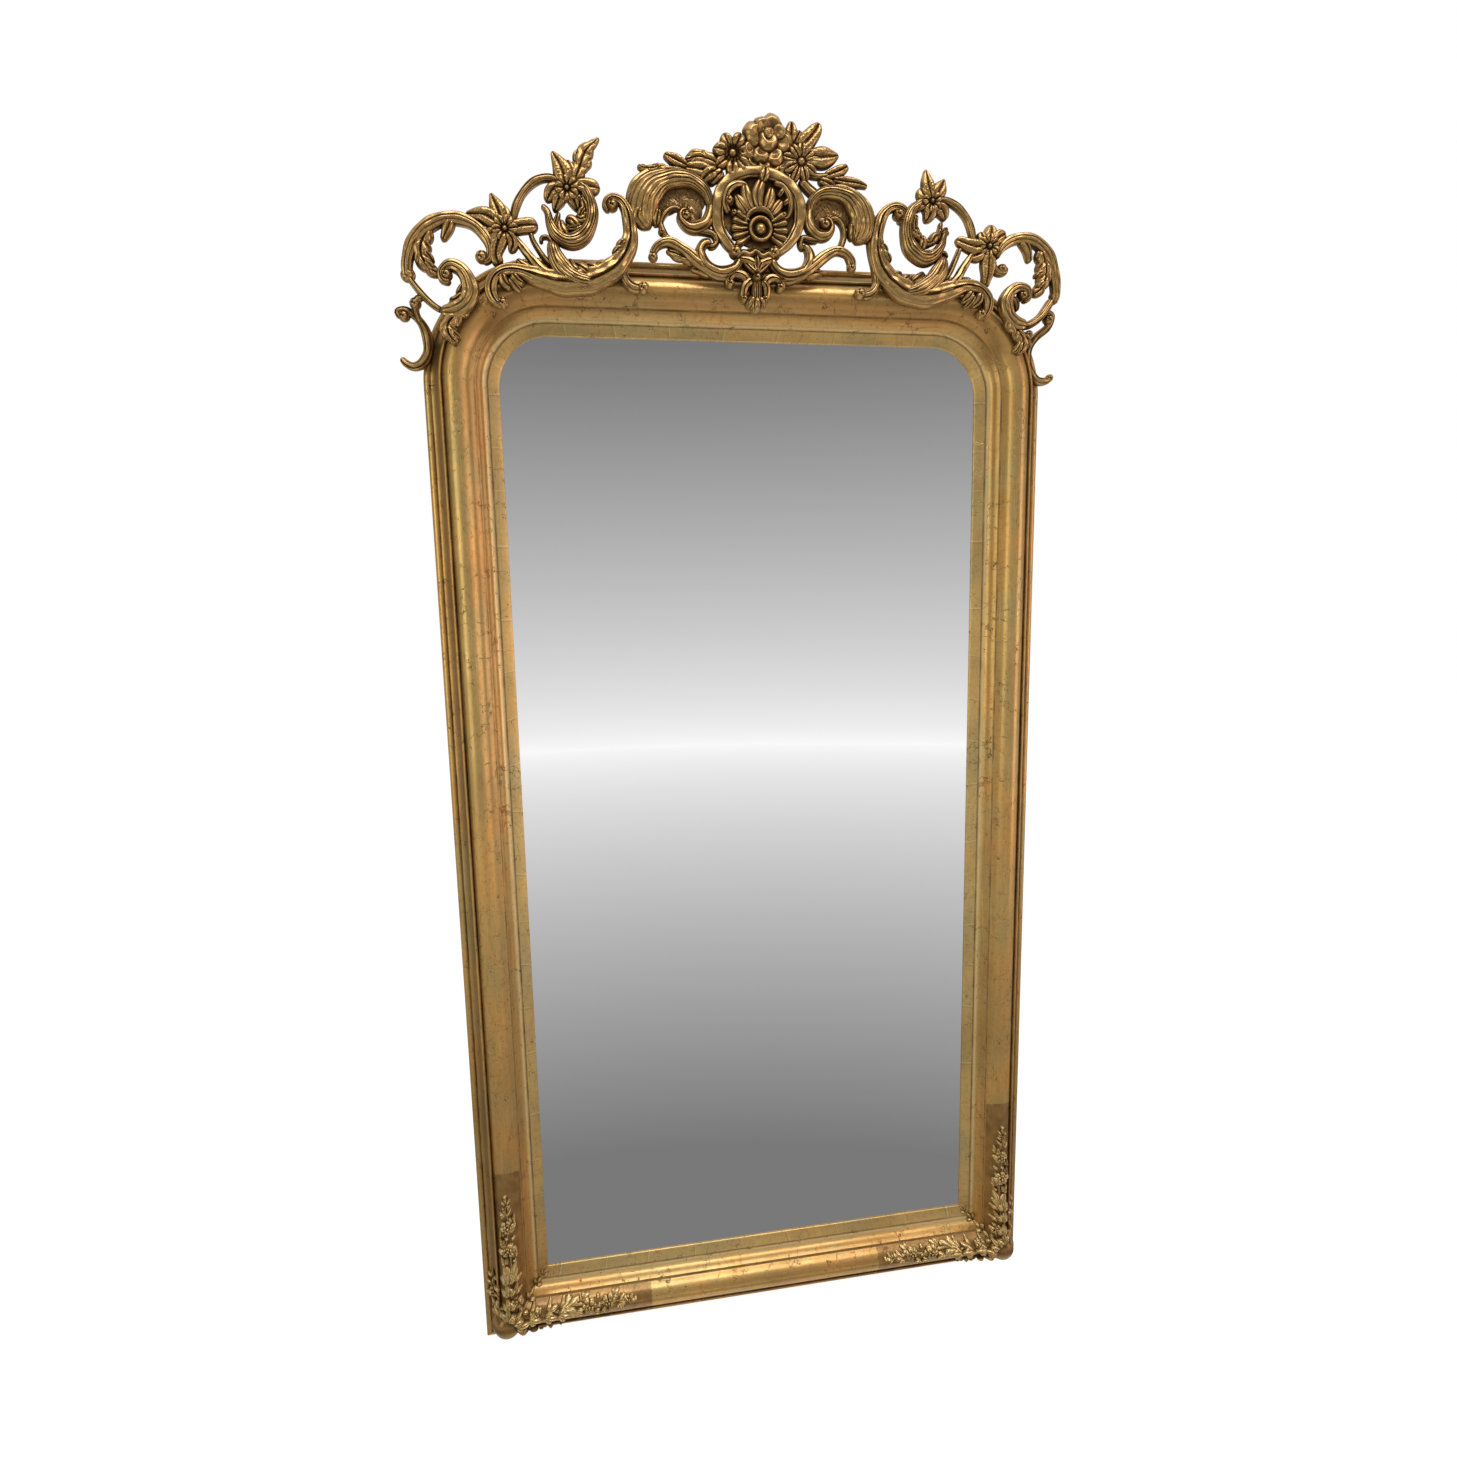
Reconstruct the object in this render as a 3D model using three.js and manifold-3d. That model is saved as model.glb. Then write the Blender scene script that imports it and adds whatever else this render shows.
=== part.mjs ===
// A tall gilded wall mirror: a moulded frame with rounded top corners, a mirror plate in a
// rebate behind a bevelled slip, pine backboards, hanging rings, a pierced crest of scrolls,
// leaves and flowers, and pressed composition ornament on the two bottom corners.
// Units are millimetres. X runs to the right, Y back to the wall and Z up. The origin is on
// the wall plane, in the middle of the bottom rail's back.
import * as THREE from 'three';
import { mergeVertices } from 'three/addons/utils/BufferGeometryUtils.js';
import Module from 'manifold-3d';

const wasm = await Module();
wasm.setup();

// ---------- driving dimensions ----------
const SIGHT_WIDTH = 740; // the glass that shows
const SIGHT_HEIGHT = 1495;
const SIGHT_CORNER = 75; // radius of the two top corners of the sight opening
const MOULDING = 105; // from the sight edge to the outside
const SIGHT_DEPTH = 30; // from the sight edge back to the wall plane
const SLIP = 15.7; // breadth of the bevelled slip round the glass
const GAP = 0.3; // left between pieces that touch
const GLASS = 5; // thickness of the mirror plate
const GLASS_COVER = 12; // how far the plate runs behind the slip
const REBATE = 28; // the boards' rebate, from the sight edge
const REBATE_FLOOR = -14; // the boards lie against it, measured from the sight plane
const BOARD = 10;
const BOARDS = 3;
const CORNER_STEPS = 8;
const ORIGIN_UP = 40; // the origin's height above the frame's bottom edge
const CREST_BACK = 47.4; // the crest's flat back, just before the highest part of the moulding

const HALF_SIGHT = SIGHT_WIDTH / 2;
const SIGHT_BOTTOM = MOULDING - ORIGIN_UP;
const SIGHT_TOP = SIGHT_BOTTOM + SIGHT_HEIGHT;
const CORNER_X = HALF_SIGHT - SIGHT_CORNER; // the centre that the top corners turn about
const CORNER_Z = SIGHT_TOP - SIGHT_CORNER;

// ---------- finishes ----------
const finish = (color, roughness, metalness) =>
  new THREE.MeshStandardMaterial({ color, roughness, metalness });
const gilding = finish(0xb08a45, 0.42, 0.7);
const crestGilding = finish(0x9c7a3e, 0.48, 0.65);
const composition = finish(0x8a6f42, 0.55, 0.5);
const silvering = finish(0xd9dcdd, 0.03, 1.0);
const pine = finish(0xa98a62, 0.8, 0.0);
const iron = finish(0x4a4642, 0.6, 0.8);

// ---------- solids ----------
// A point of the moulding: out from the sight edge, forward from the sight plane.
const at = (x, forward, z) => new THREE.Vector3(x, -SIGHT_DEPTH - forward, z);

// Rings of equal count become a closed skin; `outline` is the flat shape that caps both ends.
function loft(rings, outline) {
  const sides = outline.length;
  const index = [];
  for (let i = 0; i + 1 < rings.length; i++) {
    for (let j = 0; j < sides; j++) {
      const a = i * sides + j;
      const b = i * sides + ((j + 1) % sides);
      index.push(a, b, b + sides, a, b + sides, a + sides);
    }
  }
  const last = (rings.length - 1) * sides;
  const clockwise = THREE.ShapeUtils.isClockWise(outline);
  for (const face of THREE.ShapeUtils.triangulateShape(outline, [])) {
    const same = THREE.ShapeUtils.isClockWise(face.map((k) => outline[k])) === clockwise;
    const [a, b, c] = same ? face : [...face].reverse(); // wound as the outline is
    index.push(c, b, a, last + a, last + b, last + c);
  }
  const geometry = new THREE.BufferGeometry().setFromPoints(rings.flat());
  geometry.setIndex(index);
  return geometry;
}

// Six times the volume inside a skin; its sign tells which way the faces point.
function signedVolume(position, index) {
  const corner = (k) => new THREE.Vector3().fromBufferAttribute(position, index.getX(k));
  let total = 0;
  for (let k = 0; k < index.count; k += 3) {
    total += corner(k).dot(corner(k + 1).cross(corner(k + 2)));
  }
  return total;
}

function solid(geometry) {
  const bare = geometry.clone();
  bare.deleteAttribute('normal');
  bare.deleteAttribute('uv');
  const merged = mergeVertices(bare, 1e-4);
  const triVerts = Uint32Array.from(merged.index.array);
  if (signedVolume(merged.attributes.position, merged.index) < 0) triVerts.reverse();
  const vertProperties = Float32Array.from(merged.attributes.position.array);
  return new wasm.Manifold(new wasm.Mesh({ numProp: 3, vertProperties, triVerts }));
}

function geometryOf(manifold) {
  const { vertProperties, triVerts } = manifold.getMesh();
  const geometry = new THREE.BufferGeometry();
  geometry.setAttribute('position', new THREE.BufferAttribute(vertProperties, 3));
  geometry.setIndex(new THREE.BufferAttribute(triVerts, 1));
  geometry.computeVertexNormals();
  return geometry;
}

const union = (parts) => parts.reduce((all, part) => all.add(part));

// The one largest body: chips that a cut leaves loose are dropped.
const wholePiece = (manifold) =>
  manifold.decompose().reduce((a, b) => (a.volume() > b.volume() ? a : b));

const mirror = new THREE.Group();
mirror.name = 'mirror';

function place(name, manifold, material) {
  const mesh = new THREE.Mesh(geometryOf(manifold), material);
  mesh.name = name;
  mirror.add(mesh);
  return manifold;
}

const block = (x0, x1, y0, y1, z0, z1) => {
  const box = new THREE.BoxGeometry(x1 - x0, y1 - y0, z1 - z0);
  box.translate((x0 + x1) / 2, (y0 + y1) / 2, (z0 + z1) / 2);
  return solid(box);
};

// ---------- the moulding's profile ----------
const point = (out, forward) => new THREE.Vector2(out, forward);
const bend = (from, control, to, steps) =>
  new THREE.QuadraticBezierCurve(point(...from), point(...control), point(...to)).getPoints(steps);
const wave = (points, steps) =>
  new THREE.SplineCurve(points.map((p) => point(...p))).getPoints(steps);

const FACE = [
  ...bend([16, 8.6], [27.5, 9.5], [31.5, 27], 4), // the cove beside the slip
  ...wave([[35.2, 29], [42, 39], [51, 45.2], [58, 47], [66, 45], [72, 40.5], [77, 33]], 7),
  ...wave([[77.4, 37.6], [79, 39.4], [81, 37.6]], 2), // the sharp arris
  ...bend([81.3, 36], [82.5, 19], [94, 14.6], 3), // the outer cove
  ...wave([[94.4, 12.5], [98, 15], [103, 13], [MOULDING, 8], [103.6, 3]], 4), // the edge bead
];
const PROFILE = [
  ...FACE,
  point(103.6, -SIGHT_DEPTH),
  point(REBATE, -SIGHT_DEPTH),
  point(REBATE, REBATE_FLOOR),
  point(16, REBATE_FLOOR),
];
const SLIP_PROFILE = [point(0, -1), point(0, 0), point(1.2, 1.6), point(SLIP, 8.2), point(SLIP, -1)];

// Height of the moulding's face at a distance out from the sight edge.
function faceHeight(out) {
  const face = [point(0, 0), point(SLIP, 8.2), ...FACE];
  const next = face.findIndex((p) => p.x >= out);
  if (next < 1) return 0;
  const [a, b] = [face[next - 1], face[next]];
  return a.y + ((out - a.x) / (b.x - a.x || 1)) * (b.y - a.y);
}

// One straight length: `start` and `end` give, for a distance out, where the length stops.
function straight(profile, toPoint, start, end) {
  return loft([start, end].map((stop) => profile.map((p) => toPoint(p, stop(p.x)))), profile);
}

// A top corner turns a quarter circle about its centre; side is 1 on the right, -1 on the left.
function turned(profile, side, from, to, steps) {
  const rings = [];
  for (let i = 0; i <= steps; i++) {
    const angle = from + ((to - from) * i) / steps;
    rings.push(profile.map((p) => {
      const reach = SIGHT_CORNER + p.x;
      return at(
        side * (CORNER_X + reach * Math.cos(angle)), p.y, CORNER_Z + reach * Math.sin(angle));
    }));
  }
  return rings;
}

const onStile = (side) => (p, z) => at(side * (HALF_SIGHT + p.x), p.y, z);
const onTopRail = (p, x) => at(x, p.y, SIGHT_TOP + p.x);
const onBottomRail = (p, x) => at(x, p.y, SIGHT_BOTTOM - p.x);
const JOINT = GAP / 2; // each of two meeting ends stands back by this

function buildFrame() {
  const seat = {};
  for (const [side, hand] of [[-1, 'left'], [1, 'right']]) {
    const stile = straight(PROFILE, onStile(side),
      (out) => SIGHT_BOTTOM - out + JOINT, () => CORNER_Z - JOINT);
    seat[`stile_${hand}`] = place(`stile_${hand}`, solid(stile), gilding);
    const cut = JOINT / (SIGHT_CORNER + MOULDING);
    const corner = loft(turned(PROFILE, side, cut, Math.PI / 2 - cut, CORNER_STEPS), PROFILE);
    seat[`corner_block_${hand}`] = place(`corner_block_${hand}`, solid(corner), gilding);
  }
  const top = straight(PROFILE, onTopRail, () => -CORNER_X + GAP, () => CORNER_X - GAP);
  seat.top_rail = place('top_rail', solid(top), gilding);
  const mitre = (out) => HALF_SIGHT + out - JOINT - GAP;
  const bottom = straight(PROFILE, onBottomRail, (out) => -mitre(out), mitre);
  seat.bottom_rail = place('bottom_rail', solid(bottom), gilding);
  return seat;
}

function buildSlips() {
  for (const [side, hand] of [[-1, 'left'], [1, 'right']]) {
    const length = straight(SLIP_PROFILE, onStile(side),
      (out) => SIGHT_BOTTOM - out + JOINT, () => CORNER_Z - JOINT);
    place(`slip_${hand}`, solid(length), gilding);
    const cut = JOINT / SIGHT_CORNER;
    const bent = turned(SLIP_PROFILE, side, cut, Math.PI / 2 - cut, CORNER_STEPS);
    place(`slip_corner_${hand}`, solid(loft(bent, SLIP_PROFILE)), gilding);
  }
  const mitre = (out) => HALF_SIGHT + out - JOINT - GAP;
  place('slip_bottom', solid(
    straight(SLIP_PROFILE, onBottomRail, (out) => -mitre(out), mitre)), gilding);
  const top = straight(SLIP_PROFILE, onTopRail, () => -CORNER_X + GAP, () => CORNER_X - GAP);
  place('slip_top', solid(top), gilding);
}

// A flat plate that follows the opening, wider than the sight by `cover` on every side.
function plate(cover, front, thickness) {
  const half = HALF_SIGHT + cover;
  const low = SIGHT_BOTTOM - cover;
  const outline = new THREE.Shape();
  outline.moveTo(-half, low);
  outline.lineTo(half, low);
  outline.absarc(CORNER_X, CORNER_Z, SIGHT_CORNER + cover, 0, Math.PI / 2);
  outline.absarc(-CORNER_X, CORNER_Z, SIGHT_CORNER + cover, Math.PI / 2, Math.PI);
  outline.closePath();
  const sheet = new THREE.ExtrudeGeometry(
    outline, { depth: thickness, bevelEnabled: false, curveSegments: CORNER_STEPS / 2 });
  sheet.rotateX(Math.PI / 2); // the outline's plane stands up, and the depth runs forward
  sheet.translate(0, -SIGHT_DEPTH - front + thickness, 0);
  return solid(sheet);
}

function buildGlassAndBack() {
  const glassFront = -1 - GAP;
  place('mirror_glass', plate(GLASS_COVER, glassFront, GLASS), silvering);
  const behindGlass = -SIGHT_DEPTH - glassFront + GLASS; // Y of the plate's back
  for (const [side, hand] of [[-1, 'left'], [1, 'right']]) {
    const [inner, outer] = [side * (HALF_SIGHT - 4), side * (HALF_SIGHT + SLIP - 0.4)];
    place(`glass_strip_${hand}`, block(
      Math.min(inner, outer), Math.max(inner, outer),
      behindGlass + GAP, -SIGHT_DEPTH - REBATE_FLOOR - GAP,
      SIGHT_BOTTOM + 40, CORNER_Z - 40), pine);
  }
  const boards = plate(REBATE - GAP, REBATE_FLOOR - GAP, BOARD);
  const low = SIGHT_BOTTOM - REBATE;
  const high = SIGHT_TOP + REBATE;
  const pitch = (high - low) / BOARDS;
  for (let i = 0; i < BOARDS; i++) {
    const row = block(-HALF_SIGHT - MOULDING, HALF_SIGHT + MOULDING, -SIGHT_DEPTH, 0,
      low + i * pitch + JOINT, low + (i + 1) * pitch - JOINT);
    place(`back_board_${i + 1}`, boards.intersect(row), pine);
  }
}

// ---------- hanging rings ----------
const RING = { z: 1360, x: HALF_SIGHT + 66, radius: 17, wire: 2.1, sides: 8, steps: 8 };
const KNUCKLE = { bore: 2.6, wall: 1.8, length: 16 };
const HANGING_PLATE = { width: 30, height: 46, thickness: 2, rise: 1 }; // rise above the axis

function buildHangers() {
  const axisY = KNUCKLE.bore + KNUCKLE.wall; // the knuckle lies on the frame's back
  for (const [side, hand] of [[-1, 'left'], [1, 'right']]) {
    const x = side * RING.x;
    const low = RING.z + HANGING_PLATE.rise;
    const sheet = block(x - HANGING_PLATE.width / 2, x + HANGING_PLATE.width / 2,
      GAP, GAP + HANGING_PLATE.thickness, low, low + HANGING_PLATE.height);
    const shell = new THREE.CylinderGeometry(
      KNUCKLE.bore + KNUCKLE.wall, KNUCKLE.bore + KNUCKLE.wall, KNUCKLE.length, RING.sides);
    shell.rotateZ(Math.PI / 2);
    shell.translate(x, axisY + GAP, RING.z);
    const bore = new THREE.CylinderGeometry(KNUCKLE.bore, KNUCKLE.bore, KNUCKLE.length + 2, RING.sides);
    bore.rotateZ(Math.PI / 2);
    bore.translate(x, axisY + GAP, RING.z);
    place(`hanging_plate_${hand}`, sheet.add(solid(shell)).subtract(solid(bore)), iron);

    // A stirrup of round wire: a straight bar through the knuckle, closed by a long bow.
    const drop = 2 * RING.radius;
    const corner = (px, pz) => new THREE.Vector3(px, axisY + GAP, RING.z - pz);
    const bow = new THREE.CubicBezierCurve3(
      corner(x + RING.radius, 0), corner(x + RING.radius * 1.35, drop * 1.15),
      corner(x - RING.radius * 1.35, drop * 1.15), corner(x - RING.radius, 0));
    place(`hanging_ring_${hand}`, wireRing(bow, x, axisY + GAP), iron);
  }
}

// The bow's wire is closed by the bar; both are swept with the same round section.
function wireRing(bow, x, y) {
  const rim = [];
  for (let j = 0; j < RING.sides; j++) {
    const a = (2 * Math.PI * j) / RING.sides;
    rim.push(point(Math.cos(a) * RING.wire, Math.sin(a) * RING.wire));
  }
  const rings = [];
  for (let i = 0; i <= RING.steps; i++) {
    const middle = bow.getPoint(i / RING.steps);
    const along = bow.getTangent(i / RING.steps);
    const side = new THREE.Vector3(0, 1, 0).cross(along).normalize();
    rings.push(rim.map((p) => middle.clone()
      .addScaledVector(side, p.x).add(new THREE.Vector3(0, p.y, 0))));
  }
  const bar = new THREE.CylinderGeometry(
    RING.wire, RING.wire, 2 * RING.radius + 2 * RING.wire, RING.sides);
  bar.rotateZ(Math.PI / 2);
  bar.translate(x, y, RING.z);
  return solid(loft(rings, rim)).add(solid(bar));
}

// ---------- carved runs ----------
// Sections across a run: from edge to edge, and from the flat back to the crown.
const SECTIONS = {
  scroll: [[-0.5, 0], [-0.36, 1], [0, 0.66], [0.36, 1], [0.5, 0]],
  round: [[-0.5, 0], [-0.4, 0.7], [0, 1], [0.4, 0.7], [0.5, 0]],
  leaf: [[-0.5, 0], [-0.5, 0.3], [0, 1], [0.5, 0.3], [0.5, 0]],
  petal: [[-0.5, 0], [-0.3, 0.9], [0.3, 0.9], [0.5, 0]],
  blade: [[-0.5, 0], [0, 1], [0.5, 0]],
};
const STRIDE = 20; // about one section in this length of a run

// A run is carved along a smooth line through its points. Each point holds its place across
// and up, the breadth and thickness there, and how far its back stands before the base.
function run(kind, points, origin, base, grow) {
  const vectors = (pick) => new THREE.CatmullRomCurve3(
    points.map((p) => new THREE.Vector3(...pick(p))), false, 'centripetal');
  const line = vectors(([x, z]) => [origin.x + x, 0, origin.z + z]);
  const girth = vectors(([, , breadth, thickness, lift = 0]) => [breadth, thickness, lift]);
  const section = SECTIONS[kind];
  const steps = Math.max(points.length - 1, Math.round(line.getLength() / STRIDE));
  const rings = [];
  for (let i = 0; i <= steps; i++) {
    const t = i / steps;
    const middle = line.getPoint(t);
    const along = line.getTangent(t);
    const [t0, t1] = [Math.max(t - 0.5 / steps, 0), Math.min(t + 0.5 / steps, 1)];
    const [before, after] = [line.getTangent(t0), line.getTangent(t1)];
    const span = line.getPoint(t0).distanceTo(line.getPoint(t1));
    const turn = (before.x * after.z - before.z * after.x) / span; // one over the radius, signed
    if (i === 0) middle.addScaledVector(along, -grow);
    if (i === steps) middle.addScaledVector(along, grow);
    const [breadth, thickness, lift] = girth.getPoint(t).toArray();
    rings.push(section.map(([across, up]) => {
      let reach = across * (breadth + 2 * grow);
      if (reach * turn > 0.8) reach = 0.8 / turn; // the inside of a tight curl stays open
      const forward = base + lift + up * thickness + (up > 0 ? grow : -grow);
      return new THREE.Vector3(
        middle.x - along.z * reach, -SIGHT_DEPTH - forward, middle.z + along.x * reach);
    }));
  }
  return solid(loft(rings, section.map((p) => point(...p))));
}

// A round eye, berry or flower heart: a low dome that faces forward.
function dome([x, z, radius, thickness, lift = 0], origin, base, grow) {
  const r = radius + grow;
  const h = thickness + 2 * grow;
  const profile = [point(0, 0), point(r, 0), point(r * 0.85, h * 0.7), point(0, h)];
  const shape = new THREE.LatheGeometry(profile, radius > 20 ? 12 : 7);
  shape.rotateX(Math.PI); // its height now runs forward
  shape.translate(origin.x + x, -SIGHT_DEPTH - base - lift + grow, origin.z + z);
  return solid(shape);
}

// A flower head turned about its heart, with its rim drawn in between the petals.
function bloom({ at: [x, z], radius, petals, thickness, cut = 0.4, lift = 0, turn = 0, fine = 2 },
  origin, base, grow) {
  const r = radius + grow;
  const h = thickness + 2 * grow;
  const heart = radius > 20 ? [point(r * 0.3, h * 0.62), point(r * 0.24, h * 0.95)] : [];
  const profile = [
    point(0, 0), point(r, h * 0.3), point(r * 0.68, h * 0.8), ...heart, point(0, h)];
  const shape = new THREE.LatheGeometry(profile, fine * petals);
  const position = shape.attributes.position;
  for (let k = 0; k < position.count; k++) {
    const angle = Math.atan2(position.getZ(k), position.getX(k));
    const reach = Math.hypot(position.getX(k), position.getZ(k));
    const rim = Math.max(0, reach / r - 0.35) / 0.65; // the heart stays round
    const draw = 1 - cut * rim * (0.5 - 0.5 * Math.cos(petals * angle)) ** 2;
    position.setX(k, position.getX(k) * draw);
    position.setZ(k, position.getZ(k) * draw);
  }
  shape.rotateY(turn);
  shape.rotateX(Math.PI);
  shape.translate(origin.x + x, -SIGHT_DEPTH - base - lift + grow, origin.z + z);
  return solid(shape);
}

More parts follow.
